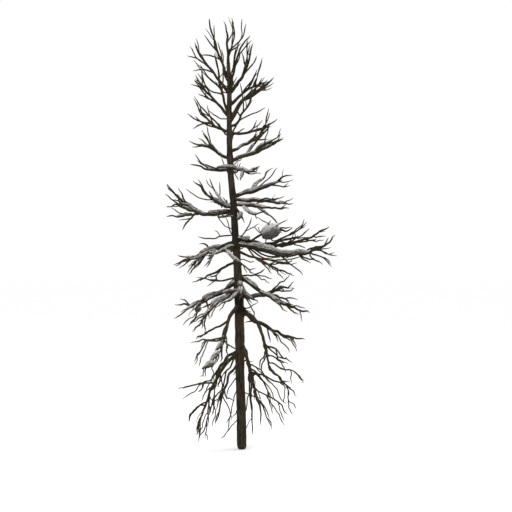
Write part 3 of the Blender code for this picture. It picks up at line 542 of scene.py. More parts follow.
def point_at(points, share):
    """Point and direction at a share of a line's length."""
    total = measure(points)
    target = share * total[-1]
    for i in range(len(points) - 1):
        if target <= total[i + 1] or i == len(points) - 2:
            span = points[i + 1] - points[i]
            part = (target - total[i]) / max(span.length, 1e-9)
            return points[i] + span * min(part, 1.0), span.normalized()


def taper(root_radius, share):
    """Radius of a limb at a share of its length."""
    return TIP_RADIUS + (root_radius - TIP_RADIUS) * (1.0 - share) ** TAPER_POWER


def with_radii(points, root_radius):
    """The radius at each point of a limb that tapers to a twig's tip."""
    total = measure(points)
    return [taper(root_radius, d / total[-1]) for d in total]


def flowing(points, radii, step=LINE_STEP):
    """A line of stations as a smooth curve with its points a step apart."""
    course = [points[0]]
    girths = [radii[0]]
    for i in range(len(points) - 1):
        a, b = points[i], points[i + 1]
        span = (b - a).length
        lead = (b - points[max(i - 1, 0)]).normalized() * span / 3
        follow = (points[min(i + 2, len(points) - 1)] - a).normalized() * span / 3
        count = max(2, round(span / step) + 1)
        course += geometry.interpolate_bezier(a, a + lead, b - follow, b, count)[1:]
        girths += [radii[i] + (radii[i + 1] - radii[i]) * k / (count - 1) for k in range(1, count)]
    return course, girths


def wander(point, limb):
    """Where a point of a limb's line ends up once the limb has dried crooked."""
    centre, radius = trunk_at(min(point.z, TRUNK_TOP))
    away = max(0.0, (point - centre).length - radius)
    free = min(1.0, away / BEND_FREE)
    out = min(1.0, away / (BEND_FULL * math.hypot(limb.reach, limb.rise)))
    slender = min(1.0, ROOT_CROOK + out * out * CROOK_GROWTH)
    supple = min(1.0, (SUPPLE_GIRTH / limb.girth) ** 2)
    aged = float(np.interp(point.z, CROOK_HEIGHTS, CROOK_SHARES))
    sway = ROOT_BEND + (1 - ROOT_BEND) * out
    bend = noise.noise_vector(point * WIDE_BENDS) * BEND_WIDE * sway * supple
    bend += noise.noise_vector(point * TIGHT_BENDS) * BEND_TIGHT * slender * aged
    bend += noise.noise_vector(point * KNOT_BENDS) * BEND_KNOT * slender * aged
    return point + bend * free * free * (3 - 2 * free)


def rooted(course, parent):
    """A course moved at its root onto its parent's flowing line; its tip stays."""
    root = min(parent, key=lambda point: (point - course[0]).length_squared)
    shift = root - course[0]
    last = len(course) - 1
    return [point + shift * (1 - i / last) for i, point in enumerate(course)]


class Growth:
    """One limb with all that grows on it: its flowing line, its forks and its source of chance."""

    def __init__(self, number, limb):
        self.limb = limb
        self.rng = random.Random(SEED + number)
        self.axis = limb_course(limb, self.rng)
        radii = with_radii(self.axis, limb.girth / 2)
        self.stem = flowing(self.axis, radii)
        self.cut = round(limb.share * (len(self.stem[0]) - 1))
        self.forks = []
        for fork in limb.forks:
            root = point_at(self.axis, fork.at)[0]
            course = fork_course(fork, root, self.rng)
            thick = max(FORK_THICKNESS * taper(limb.girth / 2, fork.at), FORK_RADIUS)
            self.forks.append((course, with_radii(course, thick)))


growths = [Growth(number, limb) for number, limb in enumerate(LIMBS)]


def crooked(line, limb):
    """A limb's flowing line bent by the drying, with a swollen root and a fine tip."""
    points, radii = line
    total = measure(points)
    girths = []
    for distance, radius in zip(total, radii):
        root = 1 + ROOT_SWELL * math.exp(-distance / ROOT_LENGTH)
        tip = TIP_SHARE + (1 - TIP_SHARE) * min(1.0, (total[-1] - distance) / TIP_LENGTH)
        girths.append(radius * root * tip)
    return [wander(point, limb) for point in points], girths


# ------------------------------------------------------------------ boughs and forked limbs
# Dead wood with thin dry bark, ridged along its length.  Each limb is one tapering pole that
# grows out of the trunk's collar, and its forks grow out of it.

BARK_RIDGE = 0.20           # height of the highest ridges, as a share of a limb's radius
BARK_SWELL = 0.14           # height of its slow swellings, likewise
BARK_SWELLS = 9.0           # swellings to a metre
BARK_TURN = 1.6             # the larger, the more ridges stand round a limb
BARK_RUN = 5.0              # the larger, the shorter they are
NEXT_ROD = 7.3              # shift of the ridges from one rod to the next, so that none match
COLLAR_POINTS = 3           # points of a limb's line that its run out of the heart replaces
HEART_SHARE = 0.70          # thickness of that run in the heart, over the limb's own
HEART_FLARE = 0.40          # how much of that it gains on the run, to swell where it comes out
STEEPEST = 0.45             # least level share of the run's direction
BOUGH_SIDES = 16
LIMB_SIDES = 12
FORK_SIDES = 8
BOUGH_BARK = (0.021, 0.016, 0.0080)
BOUGH_GREY = (0.058, 0.047, 0.028)
# pale olive brown of the painted highlight on the limbs' upper sides
BOUGH_LIT_TOP = (0.108, 0.084, 0.046)
BOUGH_SPLIT = (0.006, 0.005, 0.0035)


def along_limb(start, cells=5.0):
    """A vector that runs round and along each limb: patterns on it are drawn out lengthwise."""
    turn = start.node("ShaderNodeTexCoord", output=2)
    length = turn.part(0)
    angle = turn.part(1) * math.tau
    place = place_of(start)
    around = start.node("ShaderNodeCombineXYZ", {}, {
        "X": start.maths("COSINE", angle), "Y": start.maths("SINE", angle), "Z": length * cells})
    return start.node("ShaderNodeVectorMath", {"operation": "MULTIPLY_ADD"}, {
        0: place, 1: (0.6, 0.6, 0.6), 2: around})


def bough_material(name):
    """Dark dry bark with long pale fibres, near black in the splits, and a painted highlight on its upward
    faces.
    """
    finish, shader, start = new_material(name)
    along = along_limb(start)
    fibres = along.grain(3.4, 4.0)
    splits = along.grain(2.2, 2.0)
    place = place_of(start)
    specks = place.grain(55.0, 3.0)
    colour = fibres.between(0.42, 0.72).mix(BOUGH_BARK, BOUGH_GREY)
    # painted light: the fibres on the upper side are turned pale olive brown, the more so the more they
    # face up
    lit_top_fibres = upward_of(start).between(0.05, 0.95) * fibres.between(0.30, 0.60) * 0.7
    colour = lit_top_fibres.mix(colour, BOUGH_LIT_TOP)
    colour = ((1 - splits.between(0.36, 0.46)) * 0.85).mix(colour, BOUGH_SPLIT)
    colour = (specks.between(0.6, 0.75) * 0.3).mix(colour, BOUGH_GREY)
    finish_with(shader, colour, 0.80 + specks * 0.16, fibres * 0.7 + specks * 0.3, 0.003)
    return finish


def with_bark(name, lines, sides):
    """Rods swept along lines, their bark raised in ridges that run lengthwise."""
    mesh = swept(name, lines, sides)
    for number, centre, _, travelled, ring in rings_of(mesh, lines, sides):
        for side, vert in enumerate(ring):
            angle = math.tau * side / sides
            across, over = math.cos(angle) * BARK_TURN, math.sin(angle) * BARK_TURN
            at = Vector((across, over, travelled * BARK_RUN + number * NEXT_ROD))
            lift = noise.noise(at) * BARK_RIDGE + noise.noise(vert.co * BARK_SWELLS) * BARK_SWELL
            vert.co += (vert.co - centre) * lift
    return mesh


def into_trunk(line):
    """A limb's line run back to the heart of the trunk, the way it comes out of its collar."""
    points, radii = line[0][COLLAR_POINTS:], line[1][COLLAR_POINTS:]
    ahead = (points[4] - points[0]).normalized()
    centre, _ = trunk_at(min(points[0].z, TRUNK_TOP))
    back = (points[0] - centre).length / max(STEEPEST, math.hypot(ahead.x, ahead.y))
    count = max(2, round(back / LINE_STEP))
    heart, _ = trunk_at(min(points[0].z - ahead.z * back, TRUNK_TOP))
    lead = [heart.lerp(points[0], i / count) for i in range(count)]
    girths = [radii[0] * (HEART_SHARE + HEART_FLARE * i / count) for i in range(count)]
    return lead + points, girths + radii


for growth in growths:
    growth.line = into_trunk(crooked(growth.stem, growth.limb))
    if growth.limb.share > 0:
        growth.cut += len(growth.line[0]) - len(growth.stem[0])
    growth.fork_lines = []
    for course, girths in growth.forks:
        line = flowing(rooted(course, growth.stem[0]), girths)
        growth.fork_lines.append(crooked(line, growth.limb))

bough_bark = bough_material("bough_bark")
for growth in growths:
    if growth.limb.share > 0:
        points, radii = growth.line
        near = points[:growth.cut + 1], radii[:growth.cut + 1]
        mesh = with_bark(growth.limb.name, [near], BOUGH_SIDES)
        dress(mesh, growth.limb.name + "_bark", bough_bark, [growth.limb.name + "_bough"])

limb_bark = bough_material("limb_bark")
WHORLS = ("leader", "top", "upper", "middle", "broad", "low", "hanging")
for whorl in WHORLS:
    members = [growth for growth in growths if growth.limb.name.startswith(whorl)]
    nodes = [growth.limb.name + "_twigs" for growth in members]
    stems = [(growth.line[0][growth.cut:], growth.line[1][growth.cut:]) for growth in members]
    mesh = with_bark(whorl + "_stems", stems, LIMB_SIDES)
    dress(mesh, whorl + "_stems", limb_bark, nodes)
    forks = [line for growth in members for line in growth.fork_lines]
    mesh = with_bark(whorl + "_forks", forks, FORK_SIDES)
    dress(mesh, whorl + "_forks", limb_bark, nodes)

# ------------------------------------------------------------------ twigs
# The limbs are bare down to their last dead twigs.  A twig grows to alternate sides, sweeps
# forward, turns up high in the tree and hangs low down, and carries a few finer ones.

TWIG_RADIUS = 0.0180        # a twig's thickest root
TWIG_SLIM = 0.7             # or as a share of its bearer's radius there, where that is less
TWIG_SPACING = 0.31         # between twigs along a stem
TWIG_GAPS = (0.8, 1.2)      # spread of the spacings, over the usual one
TWIG_START = (0.4, 0.8)     # spread of the first one
TWIG_LENGTH = 0.66          # longest twig
TWIG_LENGTHS = (0.70, 1.05)     # spread of the twigs' lengths, over what the rule gives
TWIG_MIN = 0.24             # a shorter one is left off
TWIG_LAST = 0.08            # longest twig right at its bearer's tip
TWIG_GAIN = 0.75            # what that gains for each metre back from the tip
TWIG_BEND = 0.05            # how far its middle lies off its course, over its length
TWIG_FLOOR = 0.1            # least height of its tip over the ground
TWIG_LEAN = (18, 42)        # degrees between a twig and its stem
TWIG_ROLL = 50              # degrees that it may turn up or down about its stem
BARE_END = 0.42             # of a stem past its last twig, were its twigs very small
BARE_LESS = 0.22            # how much less of it is bare past twigs of the first size
CLEARANCE = 0.012           # least space between a twig and another limb's wood
# share of each part of a limb from which on its twigs, and its finer twigs, stand
TWIGS_FROM = {"stem": 0.22, "fork": 0.15}
FINER_FROM = {"stem": 0.30, "fork": 0.20, "twig": 0.25, "shoot": 0.25, "long shoot": 0.30}
FINER = 0.56                # size of the finer twigs, as a share of the first
FINER_LEAN = 1.45           # how much wider they stand out
FINER_SPACING = 0.84        # between them
FINER_SLIM = 0.70           # their thickness, as a share of what the rule gives
FINER_STEP = 0.03           # between the points of their lines
HANGING_SPACING = 1.02      # the finer twigs of the hanging limbs are fewer
HANGING_SLIM = 0.88         # and stouter
# heights, and how far twigs turn up (above zero) or down there, over their length
DROOP_HEIGHTS = (2.6, 3.6, 5.2, 6.6)
DROOPS = (-0.45, -0.12, 0.10, 0.42)
TWIG_SIDES = 6
FINE_SIDES = 4
# limbs that have shed every other twig
SPARSE = ("leader_tip", "leader_left", "leader_right", "upper_left_a", "middle_right_a",
          "middle_right_b", "middle_right_c", "broad_left_a", "low_left_a")
TWIG_TINTS = {
    "dark": (0.021, 0.016, 0.0080),
    "olive": (0.035, 0.027, 0.0115),
    "weathered": (0.048, 0.040, 0.023),
}


class Room:
    """The round-ended spans of all the wood placed so far, each with its owner's name."""

    def __init__(self):
        self.starts = []
        self.ends = []
        self.radii = []
        self.owners = []

    def add(self, owner, points, radii):
        for a, b, ra, rb in zip(points, points[1:], radii, radii[1:]):
            self.starts.append(tuple(a))
            self.ends.append(tuple(b))
            self.radii.append(max(ra, rb))
            self.owners.append(owner)

    def clear(self, owner, points, radii):
        """True where the line keeps its distance from all wood of other owners."""
        others = np.array([name != owner for name in self.owners])
        starts = np.array(self.starts)[others]
        ends = np.array(self.ends)[others]
        needed = np.array(self.radii)[others] + CLEARANCE
        for a, b, radius in zip(points, points[1:], radii):
            if (span_distances(np.array(a), np.array(b), starts, ends) < needed + radius).any():
                return False
        return True


TINY = 1e-12


def span_distances(start, end, starts, ends):
    """Least distance from one straight span to each of many others."""
    own, others, gap = end - start, ends - starts, start - starts
    own_square = own @ own
    other_squares = np.maximum((others * others).sum(1), TINY)
    gap_on_others = (others * gap).sum(1)
    gap_on_own = gap @ own
    shared = others @ own
    slant = own_square * other_squares - shared * shared
    ahead = shared * gap_on_others - gap_on_own * other_squares
    along = np.clip(np.where(slant > TINY, ahead / np.maximum(slant, TINY), 0.0), 0.0, 1.0)
    beside = np.clip((shared * along + gap_on_others) / other_squares, 0.0, 1.0)
    along = np.clip((shared * beside - gap_on_own) / own_square, 0.0, 1.0)
    nearest = (start + along[:, None] * own) - (starts + beside[:, None] * others)
    return np.sqrt((nearest * nearest).sum(1))


def twig_courses(axis, root_radius, first, rng, size=1.0, spacing=TWIG_SPACING):
    """Twigs along an axis from a share of it on: alternate sides, sweeping forward."""
    length = measure(axis)[-1]
    distance = first * length + spacing * rng.uniform(*TWIG_START)
    side = rng.choice((-1, 1))
    while distance < length - BARE_END + BARE_LESS * size:
        share = distance / length
        root, ahead = point_at(axis, share)
        across = ahead.cross(UP).normalized()
        over = across.cross(ahead)
        roll = math.radians(rng.uniform(-TWIG_ROLL, TWIG_ROLL))
        lean = math.radians(rng.uniform(*TWIG_LEAN)) * (1.0 if size == 1.0 else FINER_LEAN)
        out = (across * math.cos(roll) * side + over * math.sin(roll)) * math.sin(lean)
        out += ahead * math.cos(lean)
        longest = TWIG_LAST * size + TWIG_GAIN * (length - distance)
        reach = min(TWIG_LENGTH * size, longest) * rng.uniform(*TWIG_LENGTHS)
        turn = UP * float(np.interp(root.z, DROOP_HEIGHTS, DROOPS)) * reach
        bend = Vector([rng.uniform(-TWIG_BEND, TWIG_BEND) * reach for _ in range(3)])
        middle = root + out * reach * 0.5 + turn * 0.25 + bend
        tip = root + out * reach + turn
        thick = min(TWIG_RADIUS * size ** 0.5, TWIG_SLIM * taper(root_radius, share))
        if reach > TWIG_MIN * size and tip.z > TWIG_FLOOR:
            yield [root, middle, tip], [thick, (thick + TIP_RADIUS) / 2, TIP_RADIUS]
        distance += spacing * rng.uniform(*TWIG_GAPS)
        side = -side


def twig_material(tint, colour):
    """A matt twig colour with a fine grain, painted lighter where it faces up and darker where it faces
    down, as light and shade.
    """
    finish, shader, start = new_material("twigs_" + tint)
    place = place_of(start)
    grain = place.grain(30.0, 3.0)
    # painted light and shade: part of the tone follows the grain, the rest how far the twig faces up, from
    # a shaded copy of its colour to a lit one
    light = grain.between(0.35, 0.65) * 0.45 + upward_of(start).between(-0.3, 0.9) * 0.55
    shade_and_dark_grain = [0.45 * part for part in colour]
    light_and_pale_grain = [2.3 * part for part in colour]
    finish_with(shader, light.mix(shade_and_dark_grain, light_and_pale_grain), 0.78 + grain * 0.18, grain, 0.002)
    return finish


room = Room()
room.add("trunk", [trunk_at(row[0])[0] for row in TRUNK], [row[2] / 2 for row in TRUNK])
for growth in growths:
    room.add(growth.limb.name, growth.axis, with_radii(growth.axis, growth.limb.girth / 2))
for growth in growths:
    for fork in growth.forks:
        room.add(growth.limb.name, *fork)
sprays = {tint: ([], [], []) for tint in TWIG_TINTS}
for growth in growths:
    name = growth.limb.name
    stem, thick = growth.stem[0], growth.limb.girth / 2
    first = max(growth.limb.share, TWIGS_FROM["stem"])
    plans = [(twig, stem) for twig in twig_courses(growth.axis, thick, first, growth.rng)]
    for course, radii in growth.forks:
        flow = flowing(rooted(course, stem), radii)[0]
        grown = twig_courses(course, radii[0], TWIGS_FROM["fork"], growth.rng)
        plans += [(twig, flow) for twig in grown]
    if name in SPARSE:
        plans = plans[::2]
    tint = growth.rng.choice(list(TWIG_TINTS))
    twigs, finer, nodes = sprays[tint]
    nodes.append(name + "_twigs")
    bearers = []
    for (course, radii), parent in plans:
        if room.clear(name, course, radii):
            room.add(name, course, radii)
            line = flowing(rooted(course, parent), radii)
            twigs.append(crooked(line, growth.limb))
            bearers.append((line[0], radii[0], FINER_FROM["twig"]))
    bearers.append((stem, thick, max(growth.limb.share, FINER_FROM["stem"])))
    for course, radii in growth.forks:
        bearers.append((flowing(rooted(course, stem), radii)[0], radii[0], FINER_FROM["fork"]))
    if name in SPARSE:
        bearers = bearers[::2]
    hangs = name.startswith("hanging")
    slim, spacing = (HANGING_SLIM, HANGING_SPACING) if hangs else (FINER_SLIM, FINER_SPACING)
    for parent, radius, first in bearers:
        for course, radii in twig_courses(parent, radius, first, growth.rng, FINER, spacing):
            radii = [radius * slim for radius in radii]
            if room.clear(name, course, radii):
                finer.append(crooked(flowing(course, radii, FINER_STEP), growth.limb))
for tint, (twigs, finer, nodes) in sprays.items():
    finish = twig_material(tint, TWIG_TINTS[tint])
    dress(swept("twigs_" + tint, twigs, TWIG_SIDES), "twigs_" + tint, finish, nodes)
    dress(swept("fine_twigs_" + tint, finer, FINE_SIDES), "fine_twigs_" + tint, finish, nodes)

# ------------------------------------------------------------------ small shoots
# Thin dead shoots, each too light to be a limb: short ones that came straight out of the trunk
# between the whorls, and long ones on some of the limbs.  They grow by the limbs' own rule.

TRUNK_SHOOTS = (
    Limb("shoot_a", 7.59, 200, 0.46, 0.16, -0.06, 0.00, 0.030, 0.0, ()),
    Limb("shoot_b", 6.46, 175, 0.13, 0.26, 0.00, 0.00, 0.022, 0.0, ()),
    Limb("shoot_c", 6.56, 10, 0.22, 0.14, 0.00, 0.02, 0.022, 0.0, ()),
    Limb("shoot_d", 6.40, 290, 0.30, -0.24, 0.06, 0.00, 0.026, 0.0, ()),
    Limb("shoot_e", 5.40, 238, 0.72, -0.06, -0.03, 0.00, 0.050, 0.0, (
        Fork(0.45, 205, 0.16, 0.12, 0.00),)),
    Limb("shoot_f", 5.08, 180, 0.30, 0.28, -0.06, 0.00, 0.022, 0.0, ()),
    Limb("shoot_g", 4.91, 186, 0.78, 0.02, -0.05, 0.00, 0.034, 0.0, (
        Fork(0.34, 200, 0.16, 0.14, 0.05),)),
    Limb("shoot_h", 4.90, 352, 0.26, 0.44, -0.10, 0.00, 0.032, 0.0, (
        Fork(0.35, 10, 0.30, 0.22, 0.00),)),
    Limb("shoot_i", 3.92, 186, 0.82, 0.02, -0.07, 0.00, 0.044, 0.0, (
        Fork(0.55, 215, 0.22, -0.15, 0.00), Fork(0.40, 160, 0.30, 0.06, 0.00))),
    Limb("shoot_j", 3.98, 5, 0.54, 0.18, -0.04, 0.00, 0.046, 0.0, (
        Fork(0.42, 350, 0.48, -0.08, 0.02), Fork(0.50, 330, 0.42, -0.22, 0.00))),
    Limb("shoot_k", 3.24, 350, 0.32, 0.11, -0.03, 0.00, 0.026, 0.0, ()),
    Limb("shoot_l", 3.33, 300, 0.34, -0.15, 0.00, 0.00, 0.022, 0.0, ()),
    Limb("shoot_m", 3.52, 318, 0.42, -0.48, 0.06, 0.00, 0.030, 0.0, ()),
    Limb("shoot_n", 1.60, 215, 0.30, -0.36, 0.04, 0.00, 0.026, 0.0, ()),
    Limb("shoot_o", 1.22, 190, 0.20, -0.78, 0.05, 0.00, 0.026, 0.0, (
        Fork(0.50, 170, 0.12, -0.26, 0.00),)),
    Limb("shoot_p", 0.62, 200, 0.34, -0.36, 0.05, 0.00, 0.024, 0.0, ()),
    Limb("shoot_q", 1.28, 345, 0.34, -0.20, 0.04, 0.00, 0.026, 0.0, ()),
    Limb("shoot_r", 0.98, 110, 0.30, -0.34, 0.05, 0.00, 0.024, 0.0, ()),
    Limb("shoot_s", 5.44, 335, 0.17, -0.24, 0.03, 0.00, 0.060, 0.0, ()),
    Limb("shoot_t", 5.02, 205, 0.16, 0.32, 0.04, 0.00, 0.026, 0.0, ()),
    Limb("shoot_u", 2.08, 212, 0.48, -0.98, 0.12, 0.00, 0.046, 0.0, (
        Fork(0.35, 190, 0.26, -0.34, 0.03), Fork(0.60, 235, 0.16, -0.42, 0.00),
        Fork(0.75, 150, 0.16, -0.30, 0.00))),
    Limb("shoot_v", 8.72, 352, 0.16, 0.66, 0.00, 0.00, 0.036, 0.0, ()),
    Limb("shoot_w", 8.56, 200, 0.18, 0.78, -0.04, 0.00, 0.036, 0.0, (
        Fork(0.45, 150, 0.12, 0.34, 0.00),)),
    Limb("shoot_x", 8.36, 312, 0.16, 0.86, 0.00, 0.00, 0.038, 0.0, (
        Fork(0.50, 280, 0.10, 0.36, 0.00),)),
    Limb("shoot_y", 2.16, 325, 0.24, -0.26, 0.00, 0.00, 0.034, 0.0, (
        Fork(0.45, 350, 0.14, -0.08, 0.00),)),
)
# limb, the long thin shoots on its stem
LONG_SHOOTS = (
    ("broad_right_a", (
        Fork(0.07, 352, 1.00, -0.40, -0.12), Fork(0.10, 6, 1.12, -0.14, -0.17),
        Fork(0.40, 340, 0.56, -0.46, 0.00), Fork(0.06, 330, 0.85, -0.54, -0.10))),
    ("broad_left_a", (
        Fork(0.48, 195, 0.36, -0.40, 0.04), Fork(0.52, 168, 0.38, -0.22, 0.03),
        Fork(0.60, 188, 0.56, -0.20, 0.00), Fork(0.40, 212, 0.30, -0.34, 0.02))),
    ("low_right_b", (Fork(0.50, 0, 0.44, 0.44, -0.02), Fork(0.60, 345, 0.50, 0.02, -0.04))),
    ("top_right_b", (Fork(0.30, 335, 0.34, 0.44, 0.00),)),
    ("top_left_b", (Fork(0.40, 200, 0.40, 0.30, 0.00),)),
    ("top_left_c", (Fork(0.30, 185, 0.50, 0.46, -0.06),)),
    ("top_right_c", (Fork(0.30, 20, 0.60, 0.42, -0.05),)),
    ("top_left_d", (Fork(0.30, 175, 0.50, 0.28, -0.06),)),
    ("upper_right_a", (Fork(0.45, 15, 0.45, 0.45, -0.05),)),
    ("broad_right_a", (
        Fork(0.60, 350, 0.50, -0.26, 0.00), Fork(0.62, 10, 0.44, 0.20, 0.00),
        Fork(0.56, 335, 0.36, -0.22, 0.02))),
    ("hanging_right_c", (
        Fork(0.26, 290, 0.20, -1.30, 0.05), Fork(0.34, 285, 0.26, -1.42, 0.10))),
    ("hanging_right_a", (
        Fork(0.22, 190, 0.26, -0.03, 0.02), Fork(0.42, 300, 0.14, -0.34, 0.00))),
    ("hanging_right_b", (
        Fork(0.62, 5, 0.55, -0.30, -0.10), Fork(0.96, 355, 0.44, -0.34, -0.08),
        Fork(0.95, 352, 0.58, -0.64, -0.10))),
    ("hanging_left_b", (Fork(0.66, 180, 0.38, -0.34, 0.16),)),
)
LONG_SHOOT_RADIUS = 0.021
SHOOT_SEED = 5200
LONG_SHOOT_SEED = 5300


def twigs_of_shoot(stem, radius, first, rng, limb):
    """The finer twigs of a shoot, as lines bent like the limb's own."""
    for course, radii in twig_courses(stem, radius, first, rng, FINER, FINER_SPACING):
        yield crooked(flowing(course, [radius * FINER_SLIM for radius in radii], FINER_STEP), limb)


shoots = []
shoot_twigs = []
by_name = {growth.limb.name: growth for growth in growths}
bearers = [(by_name[name], fork) for name, forks in LONG_SHOOTS for fork in forks]
for number, (growth, fork) in enumerate(bearers):
    rng = random.Random(LONG_SHOOT_SEED + number)
    course = fork_course(fork, point_at(growth.stem[0], fork.at)[0], rng)
    stem = flowing(course, with_radii(course, LONG_SHOOT_RADIUS))
    shoots.append(crooked(stem, growth.limb))
    shoot_twigs += twigs_of_shoot(
        stem[0], LONG_SHOOT_RADIUS, FINER_FROM["long shoot"], rng, growth.limb)
for number, shoot in enumerate(TRUNK_SHOOTS):
    rng = random.Random(SHOOT_SEED + number)
    axis = limb_course(shoot, rng)
    stem = flowing(axis, with_radii(axis, shoot.girth / 2))
    shoots.append(into_trunk(crooked(stem, shoot)))
    for fork in shoot.forks:
        course = rooted(fork_course(fork, point_at(axis, fork.at)[0], rng), stem[0])
        thick = FORK_THICKNESS * taper(shoot.girth / 2, fork.at)
        shoots.append(crooked(flowing(course, with_radii(course, thick)), shoot))
    shoot_twigs += twigs_of_shoot(stem[0], shoot.girth / 2, FINER_FROM["shoot"], rng, shoot)
dress(with_bark("trunk_shoots", shoots, FORK_SIDES), "trunk_shoots", limb_bark)
finish = twig_material("of_shoots", TWIG_TINTS["olive"])
dress(swept("trunk_shoot_twigs", shoot_twigs, FINE_SIDES), "trunk_shoot_twigs", finish)

# ------------------------------------------------------------------ snow along the limbs
# Old snow, wetted and frozen many times, grey and streaked with dark dirt; its colour is painted paler
# where it faces up and darker on its sides and underneath, as light and shade.  It lies along the tops of
# the level limbs as long tapering banks, crusted and streaked lengthwise, thickest near the trunk.

# limb, start and end as shares of the limb, thickness of the six great banks
SNOW_COVERS = (
    ("broad_right_a", 0.08, 0.62, 0.200),
    ("middle_left_a", 0.06, 0.35, 0.122),
    ("broad_left_a", 0.20, 0.60, 0.125),
    ("low_left_a", 0.20, 0.60, 0.125),
    ("low_left_b", 0.12, 0.58, 0.110),
    ("low_front", 0.12, 0.70, 0.120),
)
SNOW_WIDTH = 1.25           # a bank's width over its thickness
SNOW_BELOW = 0.72           # how far it reaches down, over how far it reaches up
SNOW_RISE = 0.62            # of its middle over the limb's own line, in half thicknesses
SNOW_LEAST = 0.30           # it swells in a half wave from this share of its thickness
SNOW_TRIM = 0.12            # share of that half wave cut off at each end
SNOW_ENDS = (0.25, 6.0)     # thickness of its very ends, and how fast they thicken
SNOW_PLAIN = 0.96           # thickness between its humps, as a share
SNOW_HUMP = 0.22            # height of the humps along it, likewise
SNOW_HUMPS = 3.2            # humps to a metre
SNOW_STREAK = 0.38          # height of the ridges along it, as a share of its thickness
SNOW_TURN = 2.4             # the larger, the more ridges stand round it
SNOW_RUN = 1.8              # the larger, the shorter they are
NEXT_BANK = 5.1             # shift of the ridges from one bank to the next
SNOW_KNOB = 0.20            # height of its knobs
SNOW_KNOBS = 7.0            # knobs to a metre
SNOW_CRUST = 0.10           # height of its crumbling crust
SNOW_CRUMBS = 17.0          # crumbs of that to a metre
SNOW_SIDES = 20
SNOW_STEP = 0.016           # between the points of its line
# limb, fork number (none for its stem), start, end, thickness of the lesser banks
LESSER_BANKS = (
    ("upper_right_a", None, 0.06, 0.45, 0.055), ("upper_left_a", None, 0.08, 0.80, 0.074),
    ("upper_left_a", 0, 0.00, 0.60, 0.054), ("upper_right_b", None, 0.04, 0.80, 0.092),
    ("upper_right_b", 1, 0.05, 0.75, 0.085), ("upper_right_b", 0, 0.00, 0.45, 0.060),
    ("upper_left_b", None, 0.02, 0.60, 0.085), ("upper_right_c", None, 0.02, 0.80, 0.100),
    ("upper_right_c", 0, 0.00, 0.70, 0.075), ("upper_back_a", None, 0.05, 0.60, 0.070),
    ("upper_left_b", 0, 0.00, 0.50, 0.055), ("upper_right_c", 1, 0.00, 0.60, 0.055),
    ("middle_right_a", None, 0.04, 0.62, 0.105), ("middle_right_a", 0, 0.05, 0.62, 0.075),
    ("middle_right_a", 1, 0.10, 0.85, 0.075), ("middle_right_b", None, 0.05, 0.60, 0.090),
    ("middle_right_b", 0, 0.05, 0.60, 0.070), ("middle_right_c", None, 0.03, 0.66, 0.090),
    ("middle_right_c", 0, 0.00, 0.70, 0.090), ("middle_right_c", 1, 0.00, 0.55, 0.060),
    ("middle_back_a", None, 0.04, 0.60, 0.090), ("middle_back_a", 0, 0.00, 0.50, 0.060),
    ("middle_left_a", None, 0.32, 0.70, 0.096), ("middle_left_a", 5, 0.00, 0.50, 0.066),
    ("middle_left_a", 0, 0.20, 0.75, 0.080), ("middle_left_a", 1, 0.00, 0.50, 0.056),
    ("middle_left_a", 4, 0.05, 0.60, 0.070), ("middle_left_a", 3, 0.00, 0.50, 0.055),
    ("middle_left_b", None, 0.04, 0.62, 0.102), ("middle_left_b", 0, 0.00, 0.60, 0.062),
    ("broad_right_b", None, 0.00, 0.10, 0.130), ("broad_right_a", None, 0.00, 0.20, 0.115),
    ("broad_right_a", None, 0.46, 0.70, 0.145), ("broad_front", None, 0.02, 0.80, 0.075),
    ("broad_front", 0, 0.00, 0.50, 0.080), ("broad_front", 1, 0.00, 0.70, 0.065),
    ("broad_left_a", 1, 0.00, 0.60, 0.070), ("broad_left_a", 2, 0.00, 0.45, 0.060),
    ("broad_left_a", 3, 0.00, 0.80, 0.080), ("broad_left_a", 0, 0.00, 0.45, 0.050),
    ("broad_left_a", 5, 0.00, 0.55, 0.055), ("broad_left_a", 6, 0.03, 0.70, 0.075),
    ("broad_back", None, 0.04, 0.60, 0.100), ("broad_back", 0, 0.00, 0.50, 0.060),
    ("low_right_a", None, 0.05, 0.30, 0.110), ("low_right_a", None, 0.30, 0.66, 0.100),
    ("low_right_b", None, 0.02, 0.50, 0.090), ("low_back", None, 0.04, 0.60, 0.090),
    ("low_left_a", None, 0.00, 0.22, 0.108), ("low_left_a", 0, 0.00, 0.55, 0.075),
    ("low_left_a", 1, 0.00, 0.55, 0.085), ("low_left_a", 2, 0.00, 0.50, 0.085),
    ("low_left_a", 4, 0.00, 0.55, 0.080), ("low_left_b", 0, 0.00, 0.55, 0.070),
    ("low_front", 0, 0.00, 0.62, 0.085), ("low_front", 1, 0.00, 0.80, 0.085),
    ("low_front", 2, 0.00, 0.55, 0.070), ("low_right_a", 0, 0.00, 0.40, 0.060),
    ("low_right_b", 0, 0.00, 0.50, 0.050),
)
# pale of the snow's streaks and of its painted lit top, shaded grey of its sides, dark of its dirt and of
# its painted shade underneath
SNOW_PALE_AND_LIT = (0.60, 0.585, 0.57)
SNOW_GREY_AND_SHADED = (0.165, 0.155, 0.148)
SNOW_DIRT_AND_SHADE = (0.030, 0.025, 0.019)


